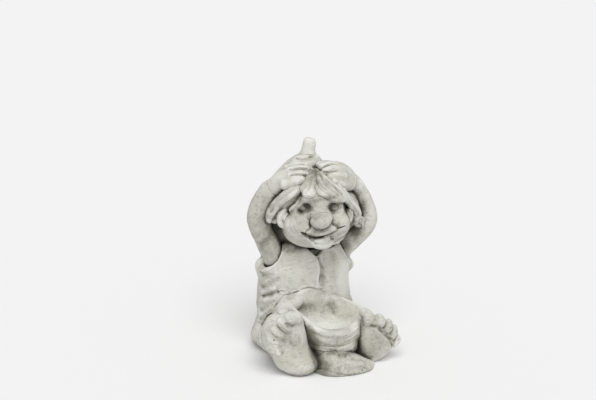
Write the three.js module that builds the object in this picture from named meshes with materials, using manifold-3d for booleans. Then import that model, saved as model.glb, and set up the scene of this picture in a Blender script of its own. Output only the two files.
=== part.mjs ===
// A seated garden figure of a gnome child in cast stone, its hands on its head and a shallow dish
// of cloth held between its bare feet. Millimetres, +Z up. The figure faces -Y, so its right is -X.
import * as THREE from "three";
import { mergeVertices } from "three/addons/utils/BufferGeometryUtils.js";
import Module from "manifold-3d";

const wasm = await Module();
wasm.setup();

// Driving dimensions

const PLAN = { width: 206, depth: 207 }; // of the whole figure: the forms are fitted to it
const SEAM = 0.3; // the hairline between two modelled forms
const ARMHOLE_GAP = 3;
const STONE = { color: 0xc9c7bb, roughness: 0.92, metalness: 0 };
const BALL = { around: 12, down: 8 };
const ROUND = Math.PI * 2;
const FAR = 3 * PLAN.depth; // beyond the figure in any direction

// Trunk: the seat spreads on the ground, and the waistcoat stands on it.
const SEAT = { bottom: [74, 52], widest: [85, 60], waist: [70, 52], bulge: 20, height: 46 };
const TRUNK = { centre: [2, 31], height: 164, forward: 8 }; // the collar comes forward of the hem
const VEST = {
  hem: { up: 0.207, r: [74, 54] }, // up is a share of the trunk's height
  waist: { up: 0.512, r: [71, 50] },
  chest: { up: 0.756, r: [69, 45] },
  shoulder: { up: 0.915, r: [50, 36] },
  collar: { up: 1, r: [36, 28] },
  thickness: 8,
  slit: { width: 2.4, x: 4 },
  neckline: { width: 46, depth: 23 },
};
const NECK = { radius: 26, length: 40 }; // from the collar to the middle of the head

// Head: its own frame, turned to the figure's right, tipped back a little and leaning on one side.
// The cap, the locks, the hands and the wrists are placed from its centre too, but don't turn with it.
const HEAD = { x: 4, y: -4, z: TRUNK.height + NECK.length, yaw: -14, pitch: -7, roll: -2 };
const SKULL = { at: [0, 5, 4], r: [48, 46, 47] };
const JAW = { at: [0, -4, -17], r: [50, 41, 30] };
const CHEEK = { x: 28, y: -31, z: -9, r: [20, 14, 16] };
const CHIN = { at: [3, -38, -36], r: [17, 12, 10] };
const MUZZLE = { at: [3, -42, -18], r: [24, 11, 12] };
const MOUTH = { right: [-20, -47, -23], middle: [4, -54, -30], left: [28, -43, -17], r: 2.6 };
const EYE = { x: 21.5, y: -40, z: 13, r: 7.5 };
const SOCKET = { r: [11, 8, 9], forward: 5 };
const NOSE = { at: [1, -58, -2], r: [16, 13, 12], turn: [0, -12, 0], bridge: [0, -46, 11], bridgeR: 7 };
const EAR = { r: [4.5, 12, 14], turn: [0, 0, 38], tipUp: 19, tipR: 2.6 };
const EARS = { right: [-47, -14, 1], left: [49, -9, -3] };
const HAIR = { at: [3, 20, -2], r: [66, 40, 54], faceLine: -8, nape: -48 };

// Hair: the locks hang from under the hands. Each station is [x, y, z, half width, half thickness].
const LOCKS = {
  right_side_lock: [
    [-34, -20, 42, 9],
    [-47, -15, 34, 9.5],
    [-58, -4, 19, 9],
    [-66, 4, 2, 7.5],
    [-69, 7, -7, 4],
  ],
  right_temple_lock: [
    [-31, -24, 32, 3],
    [-36, -26, 24, 3.4],
    [-45, -19, 15, 3],
    [-43, -23, 9, 2.4],
  ],
  forelock: [
    [-10, -5, 58, 5],
    [-18, -20, 51, 7],
    [-25, -33, 39, 9],
  ],
  left_fringe: [
    [-1, -4, 59, 7, 6],
    [3, -24, 50, 12, 8],
    [10, -35, 41, 11, 7],
    [24, -38, 28, 5, 4],
  ],
  left_temple_lock: [
    [18, -21, 45, 3],
    [30, -31, 29, 4.2],
    [42, -26, 12, 4.5],
    [56, -16, 2, 5],
    [59, -14, -6, 3],
  ],
  left_ear_curl: [
    [56, -11, -8, 3.6],
    [63, -8, -14, 5.5],
    [65, -4, -21, 4],
  ],
};

// Cap: pushed to the back of the head behind the hands, its tail standing up.
const CAP = {
  sections: [
    { z: 12, centre: [-2, 34], r: [50, 42] },
    { z: 22, centre: [-2, 34], r: [56, 46] },
    { z: 36, centre: [-2, 35], r: [54, 43] },
    { z: 47, centre: [-1, 37], r: [49, 38] },
    { z: 58, centre: [0, 40], r: [39, 31] },
    { z: 68, centre: [-2, 43], r: [28, 24] },
    { z: 76, centre: [3, 46], r: [17, 16] },
  ],
  front: 2, // the hands and the hair are in front of this
  fold: [[21, 37, 66, 5.5], [13, 35, 72, 6], [0, 35, 74, 4.5], [-13, 39, 74, 3]],
};
const TAIL = [
  [6, 47, 76, 14],
  [9, 48, 84, 10.5],
  [11, 48, 92, 9.6],
];

// Arms: from the armhole out to the elbow and back to the head. The shoulders' heights are taken
// from the collar.
const SLEEVE = {
  right: {
    shoulder: [[-47, 26, -28, 17], [-61, 22, 2, 17.5]],
    wrist: [[-76, 22, -5, 14.5], [-64, 16, 36, 15]],
  },
  left: {
    shoulder: [[58, 24, -36, 17], [76, 18, -6, 17.5]],
    wrist: [[86, 18, -12, 15], [67, 13, 34, 15]],
  },
};
const HAND = {
  right: {
    back: [[-60, 13, 39, 12, 11], [-47, 4, 54, 15, 10], [-35, -2, 60, 16, 8]],
    fingers: [
      [[-32, 8, 71, 4.6], [-16, 7, 73, 4.6], [-7, 9, 70, 4.2]],
      [[-35, -1, 67, 4.8], [-21, -2, 68, 4.8], [-12, -4, 67, 4.4]],
      [[-37, -9, 63, 4.8], [-24, -10, 64, 4.8], [-18, -12, 63, 4.4]],
      [[-44, -13, 52, 6.4], [-36, -18, 55, 6], [-30, -21, 57, 5]],
    ],
  },
  left: {
    back: [[59, 13, 36, 12, 11], [49, 6, 50, 15, 11], [34, 2, 60, 16, 9]],
    fingers: [
      [[30, 17, 64, 4.6], [16, 17, 66, 4.6], [5, 16, 65, 4.2]],
      [[30, 8, 67, 5], [15, 7, 68, 5], [4, 6, 66, 4.6]],
      [[33, -3, 62, 5], [22, -5, 63, 5], [10, -8, 63, 4.6]],
      [[32, -14, 53, 6], [20, -18, 56, 5.8], [10, -21, 57, 5]],
    ],
  },
};

// Dish: the cloth of the smock stretched between the belly and the feet. The rim is a closed curve.
const DISH = {
  deep: [2, -56, 46],
  rim: [
    [54, -22, 75],
    [62, -42, 68],
    [51, -68, 65],
    [30, -85, 59],
    [8, -93, 59],
    [-12, -94, 61],
    [-26, -91, 67],
    [-38, -82, 78],
    [-49, -64, 90],
    [-58, -44, 92],
    [-48, -28, 95],
    [-30, -22, 99],
    [-10, -17, 101],
    [8, -15, 96],
    [30, -15, 85],
  ],
  around: 24,
  sag: 2.2,
  lip: 3.5,
  hang: 24, // how far the cloth under the rim hangs plumb
  foot: { centre: [-2, -50], r: [46, 36] },
};
const FRONT_FOLD = [[-32, -84, 46, 7], [-4, -91, 32, 8], [34, -85, 42, 6]];
const KNEE_ROLL = [[-68, -66, 80, 8], [-65, -50, 86, 8], [-52, -33, 93, 7]];
const TROUSER_CUFF = { at: [16, -93, 6], r: [43, 23, 19] };

// Legs and feet: the soles face the viewer, and the toes fan out to the side.
const LEG = { hip: [42, 8, 30, 30], ankleR: 22, rise: [0, 8, -8] };
const FEET = {
  right: {
    sole: [[-63, -83, 70, 18, 14], [-61, -83, 56, 21, 15], [-57, -82, 38, 22, 16], [-50, -82, 20, 24, 20]],
    instep: { at: [-80, -64, 56], r: [20, 19, 30] },
    toes: [
      [[-62, -82, 83, 11], [-64, -92, 86, 11.5]],
      [[-80, -84, 80, 6], [-74, -95, 75, 6]],
      [[-88, -84, 69, 6], [-81, -96, 66, 6]],
      [[-93, -83, 56, 6], [-87, -95, 54, 6]],
      [[-94, -80, 44, 6], [-90, -92, 42, 5.6]],
    ],
  },
  left: {
    sole: [[58, -82, 56, 19, 12], [59, -82, 43, 24, 13], [60, -79, 28, 25, 15], [64, -74, 16, 25, 17]],
    instep: { at: [72, -66, 36], r: [28, 20, 26] },
    toes: [
      [[48, -82, 76, 9.5], [48, -91, 70, 10]],
      [[66, -82, 66, 7.6], [66, -90, 63, 7.6]],
      [[83, -84, 57, 6.8], [77, -90, 51, 6.8]],
      [[91, -82, 47, 6], [86, -89, 41, 6]],
      [[96, -80, 34, 6], [91, -87, 29, 6]],
    ],
  },
};
const BUTTON = { at: [-41.5, -18.5, 97], r: [4.2, 3, 3.6] };

// Shapes: each is a function of how much larger it is to be, so that it can also cut its neighbour.

function solidOf(geometry, frame) {
  const bare = geometry.index ? geometry.toNonIndexed() : geometry;
  bare.deleteAttribute("normal");
  bare.deleteAttribute("uv");
  if (frame) bare.applyMatrix4(frame);
  const merged = mergeVertices(bare, 1e-3);
  const triVerts = new Uint32Array(merged.index.array);
  const vertProperties = merged.attributes.position.array;
  return new wasm.Manifold(new wasm.Mesh({ numProp: 3, vertProperties, triVerts }));
}

function turned(degrees) {
  const [x, y, z] = degrees.map(THREE.MathUtils.degToRad);
  return new THREE.Matrix4().makeRotationFromEuler(new THREE.Euler(x, y, z));
}

const ball = ({ at, r, turn = [0, 0, 0] }, { around, down } = BALL) => (grow) =>
  new THREE.SphereGeometry(1, around, down)
    .scale(...r.map((v) => v + grow))
    .applyMatrix4(turned(turn))
    .translate(...at);

// A closed skin over rings of points, whose first and last rings are single points.
function skin(rings) {
  const points = [];
  for (let i = 0; i + 1 < rings.length; i++) {
    const [low, high] = [rings[i], rings[i + 1]];
    const count = Math.max(low.length, high.length);
    for (let j = 0; j < count; j++) {
      const k = (j + 1) % count;
      if (low.length > 1) points.push(low[j], low[k], high[high.length > 1 ? j : 0]);
      if (high.length > 1) points.push(low[low.length > 1 ? k : 0], high[k], high[j]);
    }
  }
  if (signedVolume(points) < 0) points.reverse();
  return new THREE.BufferGeometry().setFromPoints(points);
}

function signedVolume(points) {
  let sum = 0;
  for (let i = 0; i < points.length; i += 3) sum += points[i].dot(points[i + 1].clone().cross(points[i + 2]));
  return sum;
}

// A tapering limb through stations of [x, y, z, half width, half thickness], with rounded ends.
const limb = (stations, { sides = 8, steps = 2, out = [0, -0.4, 1] } = {}) => (grow) => {
  const path = new THREE.CatmullRomCurve3(stations.map(([x, y, z]) => new THREE.Vector3(x, y, z)));
  const sizes = stations.map(([, , , wide, thick = wide]) => new THREE.Vector3(wide + grow, thick + grow, 0));
  const size = new THREE.CatmullRomCurve3(sizes);
  const outward = new THREE.Vector3(...out).normalize();
  const ring = (t, along, share) => {
    const centre = path.getPoint(t);
    const tangent = path.getTangent(t);
    const { x: wide, y: thick } = size.getPoint(t);
    const across = new THREE.Vector3().crossVectors(tangent, outward).normalize();
    const up = new THREE.Vector3().crossVectors(across, tangent);
    centre.addScaledVector(tangent, along * Math.min(wide, thick));
    if (share === 0) return [centre];
    return Array.from({ length: sides }, (_, i) => {
      const a = ((i + 0.5) / sides) * ROUND;
      return centre
        .clone()
        .addScaledVector(across, Math.cos(a) * wide * share)
        .addScaledVector(up, Math.sin(a) * thick * share);
    });
  };
  const dome = [0, 1, 2].map((k) => (k / 3) * (Math.PI / 2));
  const rings = dome.map((a) => ring(0, -Math.cos(a), Math.sin(a)));
  const count = (stations.length - 1) * steps;
  for (let i = 0; i <= count; i++) rings.push(ring(i / count, 0, 1));
  for (const a of [...dome].reverse()) rings.push(ring(1, Math.cos(a), Math.sin(a)));
  return skin(rings);
};

// A closed body through level sections of { z, centre, r }, a little squarer than ovals.
const loft = (sections, { sides = 20, square = 2.3 } = {}) => (grow) => {
  const bent = (v) => Math.sign(v) * Math.abs(v) ** (2 / square);
  const height = (i) => sections[i].z + (i === 0 ? -grow : 0) + (i === sections.length - 1 ? grow : 0);
  const rings = sections.map(({ centre: [cx, cy], r: [rx, ry] }, level) =>
    Array.from({ length: sides }, (_, i) => {
      const a = (i / sides) * ROUND;
      const [x, y] = [bent(Math.cos(a)) * (rx + grow), bent(Math.sin(a)) * (ry + grow)];
      return new THREE.Vector3(cx + x, cy + y, height(level));
    }),
  );
  const hub = (level) => [new THREE.Vector3(...sections[level].centre, height(level))];
  return skin([hub(0), ...rings, hub(sections.length - 1)]);
};

const block = (low, high) => () => {
  const size = high.map((v, i) => v - low[i]);
  return new THREE.BoxGeometry(...size).translate(...high.map((v, i) => (v + low[i]) / 2));
};

const join = (shapes, grow = 0, frame) =>
  wasm.Manifold.union(shapes.map((shape) => solidOf(shape(grow), frame)));

const plus = (a, b) => a.map((v, i) => v + b[i]);

// Head

const headFrame = new THREE.Matrix4()
  .makeRotationFromEuler(
    new THREE.Euler(...[HEAD.pitch, HEAD.roll, HEAD.yaw].map(THREE.MathUtils.degToRad), "ZXY"),
  )
  .setPosition(HEAD.x, HEAD.y, HEAD.z);
const headPlace = new THREE.Matrix4().makeTranslation(HEAD.x, HEAD.y, HEAD.z);

const eyeAt = (side, forward = 0) => [side * EYE.x, EYE.y - forward, EYE.z];
const eye = (side) => [ball({ at: eyeAt(side), r: [EYE.r, EYE.r, EYE.r] }, { around: 10, down: 7 })];

function face() {
  const { x, y, z, r } = CHEEK;
  const fine = { around: 16, down: 10 };
  return [
    ball(SKULL, fine),
    ball(JAW, fine),
    ball({ at: [x, y, z], r }),
    ball({ at: [-x, y, z], r }),
    ball(CHIN),
    ball(MUZZLE),
  ];
}

function faceHollows() {
  const { right, middle, left, r } = MOUTH;
  const mouth = limb([[...right, r], [...middle, r * 1.3], [...left, r]], { sides: 6 });
  const socket = (side) => ball({ at: eyeAt(side, SOCKET.forward), r: SOCKET.r }, { around: 10, down: 7 });
  return [socket(-1), socket(1), mouth];
}

function nose() {
  return [ball(NOSE), limb([[...NOSE.at, NOSE.bridgeR], [...NOSE.bridge, NOSE.bridgeR]], { steps: 1 })];
}

function ear(side) {
  const at = side < 0 ? EARS.right : EARS.left;
  const [thick, , tall] = EAR.r;
  const root = plus(at, [0, 0, tall * 0.6]);
  const tip = plus(at, [side, -2, EAR.tipUp]);
  return [
    ball({ at, r: EAR.r, turn: EAR.turn.map((v) => v * -side) }),
    limb([[...root, thick + 1], [...tip, EAR.tipR]], { steps: 1, sides: 6, out: [0, -1, 0] }),
  ];
}

// Cap, arms and hands

const cap = () => [loft(CAP.sections, { square: 2 }), limb(CAP.fold, { out: [0, -1, 0] })];
const tail = () => [limb(TAIL, { out: [0, -1, 0] })];

function sleeve({ shoulder, wrist }) {
  const from = (start) => (station) => plus(station, [...start, 0]);
  const low = shoulder.map(from([0, 0, TRUNK.height]));
  const high = wrist.map(from([HEAD.x, HEAD.y, HEAD.z]));
  return [limb([...low, ...high], { sides: 10, out: [0, -1, 0] })];
}

function hand({ back, fingers }) {
  const palm = limb(back, { sides: 8, out: [0, -0.6, 1] });
  return [palm, ...fingers.map((stations) => limb(stations, { steps: 1, sides: 6 }))];
}

// Trunk

function trunkSections(inset = 0) {
  const { centre: [cx, cy], forward, height } = TRUNK;
  const { hem, waist, chest, shoulder, collar } = VEST;
  const section = ({ up, r: [rx, ry] }, share = 0) => ({
    z: up * height,
    centre: [cx, cy - share * forward],
    r: [rx - inset, ry - inset],
  });
  return [section(hem), section(waist), section(chest, 0.4), section(shoulder, 0.8), section(collar, 1)];
}

function torso() {
  const { centre: [cx, cy], forward, height } = TRUNK;
  const neck = { centre: [cx, cy - forward], r: [NECK.radius, NECK.radius] };
  const [bottom, top] = [height - VEST.thickness, HEAD.z];
  return [
    loft(trunkSections(VEST.thickness), { sides: 12 }),
    loft([{ z: bottom, ...neck }, { z: top, ...neck }], { sides: 12 }),
  ];
}

function vestOpenings() {
  const { slit, neckline } = VEST;
  const { centre: [, cy], height } = TRUNK;
  const cut = block([slit.x - slit.width / 2, cy - FAR, 0], [slit.x + slit.width / 2, cy, FAR]);
  const outline = new THREE.Shape([
    new THREE.Vector2(-neckline.width / 2, 0),
    new THREE.Vector2(0, -neckline.depth),
    new THREE.Vector2(neckline.width / 2, 0),
  ]);
  const vee = () =>
    new THREE.ExtrudeGeometry(outline, { depth: FAR, bevelEnabled: false })
      .rotateX(Math.PI / 2)
      .translate(slit.x, cy, height + SEAM);
  const armholes = [SLEEVE.right, SLEEVE.left].map((arm) => () => sleeve(arm)[0](ARMHOLE_GAP));
  return [cut, vee, ...armholes];
}

function seat() {
  const { bottom, widest, waist, bulge, height } = SEAT;
  const { centre } = TRUNK;
  const between = (share, from) => widest.map((v, i) => v * share + from[i] * (1 - share));
  const top = bulge + (height - bulge) * 0.6;
  return [
    loft([
      { z: 0, centre, r: bottom },
      { z: bulge * 0.4, centre, r: between(0.7, bottom) },
      { z: bulge, centre, r: widest },
      { z: top, centre, r: between(0.7, waist) },
      { z: height, centre, r: waist },
    ]),
  ];
}

// Dish, legs and feet

function dish() {
  const { deep, rim, around, sag, lip, hang, foot } = DISH;
  const curve = new THREE.CatmullRomCurve3(rim.map((p) => new THREE.Vector3(...p)), true);
  const edge = Array.from({ length: around }, (_, i) => curve.getPoint(i / around));
  const centre = new THREE.Vector3(...deep);
  const away = edge.map((p) => p.clone().sub(centre).setZ(0).normalize());
  const bowl = (share) => (p) =>
    centre.clone().lerp(p, share).setZ(centre.z + (p.z - centre.z) * share ** sag);
  const wall = (out, down) => (p, i) => p.clone().addScaledVector(away[i], out).setZ(p.z - down);
  const [cx, cy] = foot.centre;
  return [
    (grow) => {
      const up = new THREE.Vector3(0, 0, grow);
      const inside = [0.35, 0.65, 1].map((share) => edge.map(bowl(share)).map((p) => p.add(up)));
      const outside = [[lip, lip * 0.5], [lip, lip * 1.6], [0, hang]].map(([out, down]) =>
        edge.map(wall(out + grow, down)),
      );
      const [rx, ry] = foot.r.map((v) => v + grow);
      const base = away.map(({ x, y }) => new THREE.Vector3(cx + x * rx, cy + y * ry, 0));
      return skin([[centre.clone().add(up)], ...inside, ...outside, base, [new THREE.Vector3(cx, cy, 0)]]);
    },
  ];
}

function leg(side, { instep }) {
  const [x, y, z, r] = LEG.hip;
  const ankle = plus(instep.at, LEG.rise);
  return [limb([[side * x, y, z, r], [...ankle, LEG.ankleR]], { sides: 10, out: [0, 0, 1] })];
}

const foot = ({ sole, instep, toes }) => [
  limb(sole, { sides: 12, out: [0, -1, 0] }),
  ball(instep),
  ...toes.map((stations) => limb(stations, { steps: 1, out: [0, 0, 1] })),
];

// The figure: each form is whole unless one named before it takes its place.

const inHead = (shapes, hollows = []) => ({ shapes, hollows, frame: headFrame });
const byHead = (shapes, hollows = []) => ({ shapes, hollows, frame: headPlace });
const inBody = (shapes, hollows = []) => ({ shapes, hollows, frame: new THREE.Matrix4() });

const lock = (stations) => byHead([limb(stations, { steps: 3, sides: 6, out: [0, -1, 0.3] })]);
const locks = Object.entries(LOCKS).map(([name, stations]) => [name, lock(stations)]);

const forms = {
  right_eye: inHead(eye(-1)),
  left_eye: inHead(eye(1)),
  nose: inHead(nose()),
  right_hand: byHead(hand(HAND.right)),
  left_hand: byHead(hand(HAND.left)),
  right_sleeve: inBody(sleeve(SLEEVE.right)),
  left_sleeve: inBody(sleeve(SLEEVE.left)),
  ...Object.fromEntries(locks),
  cap_tail: byHead(tail()),
  cap: byHead(cap(), [block([-FAR, -FAR, -FAR], [FAR, CAP.front, FAR])]),
  right_ear: inHead(ear(-1)),
  left_ear: inHead(ear(1)),
  head: inHead(face(), faceHollows()),
  back_hair: inHead([ball(HAIR, { around: 14, down: 9 })], [
    block([-FAR, -FAR, -FAR], [FAR, HAIR.faceLine, FAR]),
    block([-FAR, -FAR, -FAR], [FAR, FAR, HAIR.nape]),
  ]),
  right_foot: inBody(foot(FEET.right)),
  left_foot: inBody(foot(FEET.left)),
  waistcoat_button: inBody([ball(BUTTON, { around: 8, down: 6 })]),
  left_trouser_cuff: inBody([ball(TROUSER_CUFF, { around: 16, down: 10 })]),
  smock_fold: inBody([limb(FRONT_FOLD)]),
  smock_dish: inBody([...dish(), limb(KNEE_ROLL)]),
  right_leg: inBody(leg(-1, FEET.right)),
  left_leg: inBody(leg(1, FEET.left)),
  torso: inBody(torso()),
  waistcoat: inBody([loft(trunkSections())], vestOpenings()),
  seat: inBody(seat()),
};

const ground = solidOf(block([-FAR, -FAR, -FAR], [FAR, FAR, 0])());

// The scale that brings the drawn forms to PLAN. Heights stay as they are drawn.
function fitted() {
  const drawn = new THREE.Box3();
  for (const { shapes, frame } of Object.values(forms)) {
    const { min, max } = join(shapes, 0, frame).boundingBox();
    drawn.expandByPoint(new THREE.Vector3(...min)).expandByPoint(new THREE.Vector3(...max));
  }
  const { x, y } = drawn.getSize(new THREE.Vector3());
  return new THREE.Matrix4().makeScale(PLAN.width / x, PLAN.depth / y, 1);
}

function overlap(a, b) {
  const [p, q] = [a.boundingBox(), b.boundingBox()];
  return [0, 1, 2].every((i) => p.min[i] < q.max[i] && q.min[i] < p.max[i]);
}

function largest(solid) {
  return solid.decompose().reduce((best, next) => (next.volume() > best.volume() ? next : best));
}

function meshOf(name, solid) {
  const { vertProperties, triVerts, numProp } = solid.getMesh();
  const box = solid.boundingBox();
  const middle = box.min.map((v, i) => (v + box.max[i]) / 2);
  const centre = new THREE.Vector3(...middle);
  const points = Array.from({ length: vertProperties.length / numProp }, (_, i) =>
    new THREE.Vector3().fromArray(vertProperties, i * numProp).sub(centre),
  );
  const geometry = new THREE.BufferGeometry().setFromPoints(points);
  geometry.setIndex(new THREE.BufferAttribute(new Uint32Array(triVerts), 1));
  geometry.computeVertexNormals();
  const mesh = new THREE.Mesh(geometry, new THREE.MeshStandardMaterial(STONE));
  mesh.name = name;
  mesh.position.copy(centre);
  return mesh;
}

const statue = new THREE.Group();
const placed = [];
const fit = fitted();
for (const [name, { shapes, hollows, frame }] of Object.entries(forms)) {
  const place = fit.clone().multiply(frame);
  let solid = join(shapes, 0, place);
  if (hollows.length) solid = solid.subtract(join(hollows, SEAM, place));
  for (const cutter of placed) if (overlap(solid, cutter)) solid = solid.subtract(cutter);
  placed.push(join(shapes, SEAM, place));
  statue.add(meshOf(name, largest(solid.subtract(ground))));
}

export default statue;
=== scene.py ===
"""Looks of the cast garden figure. Every form of the frame is carved again in fine voxels, with the
folds, strands, fingers, toes and features of the face, and gets weathered cast stone."""
import math

import bpy
import numpy as np
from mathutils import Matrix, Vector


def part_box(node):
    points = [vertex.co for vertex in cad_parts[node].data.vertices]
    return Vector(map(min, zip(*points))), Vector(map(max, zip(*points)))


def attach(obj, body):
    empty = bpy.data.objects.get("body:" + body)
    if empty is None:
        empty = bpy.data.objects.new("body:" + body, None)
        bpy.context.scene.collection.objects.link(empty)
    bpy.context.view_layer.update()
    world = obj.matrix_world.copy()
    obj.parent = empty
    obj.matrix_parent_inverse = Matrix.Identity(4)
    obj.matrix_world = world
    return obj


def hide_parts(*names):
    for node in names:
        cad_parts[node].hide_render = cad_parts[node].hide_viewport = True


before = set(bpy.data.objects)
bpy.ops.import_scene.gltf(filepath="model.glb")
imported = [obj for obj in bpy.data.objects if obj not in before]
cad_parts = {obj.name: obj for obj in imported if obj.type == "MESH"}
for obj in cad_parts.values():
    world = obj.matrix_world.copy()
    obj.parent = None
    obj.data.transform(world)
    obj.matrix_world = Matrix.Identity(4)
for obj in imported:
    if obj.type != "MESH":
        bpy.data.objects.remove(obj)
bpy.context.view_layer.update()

import openvdb
from mathutils import Euler, Vector

# Lengths in this script are millimetres in the frame's axes, until a mesh is made.
MM = 0.001
STEP = 0.8  # side of a voxel
BAND = 9 * STEP  # how far from a surface distances are kept
ROOM = 9.6  # space kept round a form for what is added to it
CAP_ROOM = 34  # the same round the cap, whose tail is drawn up from it
FACETS = 1.8  # blur that takes the facets off a CAD solid
REGAINED = 0.2  # what a CAD solid grows by after that blur
THINNEST = 0.3  # least radius of a groove or a roll
DEEPER = 1.6  # most that each pass of a groove goes down, in radii
FLARE = 0.3  # how much wider a groove gets towards the surface
LEAPS = 6  # in how many steps a point gets to a surface
LEAP = 4  # the longest of them
LEAD = 0.3  # by how much a form's part wins over the form itself
FILLET = 3.0  # how far neighbouring forms melt together
SOLE = 3.0  # rounding of the casting where it meets the ground
SEAM = 0.03  # half of the hairline left between two pieces
SEAM_EDGE = 0.1  # rounding of a piece's edge along that hairline
CRISP = 50  # degrees from which an edge is shaded as sharp
INWARD = (0.36, 0.9, -0.25)  # from the front of the figure, seen three-quarters on, to its back


# Shapes: each is (low corner, high corner, distance function of x, y, z arrays)


def smooth_line(points, steps=5):
    """Catmull-Rom samples through rows of numbers, whatever they hold."""
    rows = np.array(points, float)
    if len(rows) < 3:
        steps = 1
    ends = np.vstack([2 * rows[0] - rows[1], rows, 2 * rows[-1] - rows[-2]])
    line = [rows[0]]
    for i in range(1, len(ends) - 2):
        a, b, c, d = ends[i - 1 : i + 3]
        for t in np.arange(1, steps + 1) / steps:
            line.append(0.5 * (
                2 * b + (c - a) * t + (2 * a - 5 * b + 4 * c - d) * t**2 + (3 * b - a - 3 * c + d) * t**3
            ))
    return np.array(line)


def tube(points, flat=None, steps=5):
    """A limb through points of x, y, z and radius. flat is (direction, factor): it is that much
    thinner along the direction, or thicker where the factor is below 1."""
    line = smooth_line(points, steps)
    centres, radii = line[:, :3], line[:, 3]
    reach = radii.max() / min(flat[1] if flat else 1, 1) + 1
    stretch = np.eye(3)
    if flat:
        n = np.array(flat[0], float)
        n /= np.linalg.norm(n)
        stretch += (flat[1] - 1) * np.outer(n, n)
    stretch = stretch.astype(np.float32)

    def distance(x, y, z):
        best = None
        for a, b, ra, rb in zip(centres[:-1], centres[1:], radii[:-1], radii[1:]):
            px, py, pz = x - np.float32(a[0]), y - np.float32(a[1]), z - np.float32(a[2])
            ab = (b - a).astype(np.float32)
            along = (px * ab[0] + py * ab[1] + pz * ab[2]) / np.float32(max(ab @ ab, 1e-6))
            t = np.clip(along, 0, 1)
            q = [px - t * ab[0], py - t * ab[1], pz - t * ab[2]]
            if flat:
                q = [sum(stretch[i, j] * q[j] for j in range(3)) for i in range(3)]
            d = np.sqrt(q[0] ** 2 + q[1] ** 2 + q[2] ** 2) - (np.float32(ra) + t * np.float32(rb - ra))
            best = d if best is None else np.minimum(best, d)
        return best

    return centres.min(0) - reach, centres.max(0) + reach, distance


def turned(x=0, y=0, z=0):
    """The axes turned by these degrees, about x first."""
    return np.array(Euler([math.radians(v) for v in (x, y, z)]).to_matrix())


def ball(centre, radii, axes=np.eye(3)):
    """An ellipsoid. Its own axes are the columns of a matrix."""
    centre = np.array(centre, float)
    radii = np.array(radii, float)
    reach = np.abs(axes) @ radii + 1

    def distance(x, y, z):
        p = [x - np.float32(centre[0]), y - np.float32(centre[1]), z - np.float32(centre[2])]
        local = [sum(np.float32(axes[j, i]) * p[j] for j in range(3)) for i in range(3)]
        k0 = np.sqrt(sum((v / np.float32(r)) ** 2 for v, r in zip(local, radii)))
        k1 = np.sqrt(sum((v / np.float32(r * r)) ** 2 for v, r in zip(local, radii)))
        return k0 * (k0 - 1) / np.maximum(k1, 1e-4)

    return centre - reach, centre + reach, distance


# Fields of distances


def melt(a, b, soft):
    """The smaller of two distances, with a fillet of size soft."""
    if soft <= 0:
        return np.minimum(a, b)
    h = np.maximum(soft - np.abs(a - b), 0) / np.float32(soft)
    return np.minimum(a, b) - h * h * np.float32(soft / 4)


def blurred(field, sigma):
    """Gaussian blur, sigma in mm, cut off at 2.6 times that."""
    sigma = sigma / STEP
    reach = max(1, math.ceil(2.6 * sigma))
    taps = np.exp(-0.5 * (np.arange(-reach, reach + 1) / sigma) ** 2)
    taps = (taps / taps.sum()).astype(np.float32)
    for axis in range(3):
        padded = np.pad(field, [(reach, reach) if a == axis else (0, 0) for a in range(3)], mode="edge")
        out = np.zeros_like(field)
        for i, tap in enumerate(taps):
            window = [slice(None)] * 3
            window[axis] = slice(i, i + field.shape[axis])
            out += tap * padded[tuple(window)]
        field = out
    return field


def block(first, end):
    """The voxels from one index up to another."""
    return tuple(slice(i, j) for i, j in zip(first, end))


def between(field, index, share, offset=0):
    """Values between the voxels: at whole indices plus a share of a step, moved by an offset."""
    value = 0
    for corner in range(8):
        c = np.array([corner & 1, corner >> 1 & 1, corner >> 2 & 1])
        j = np.clip(index + c + offset, 0, np.array(field.shape) - 1)
        value = value + np.prod(np.where(c, share, 1 - share), axis=1) * field[j[:, 0], j[:, 1], j[:, 2]]
    return value


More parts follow.
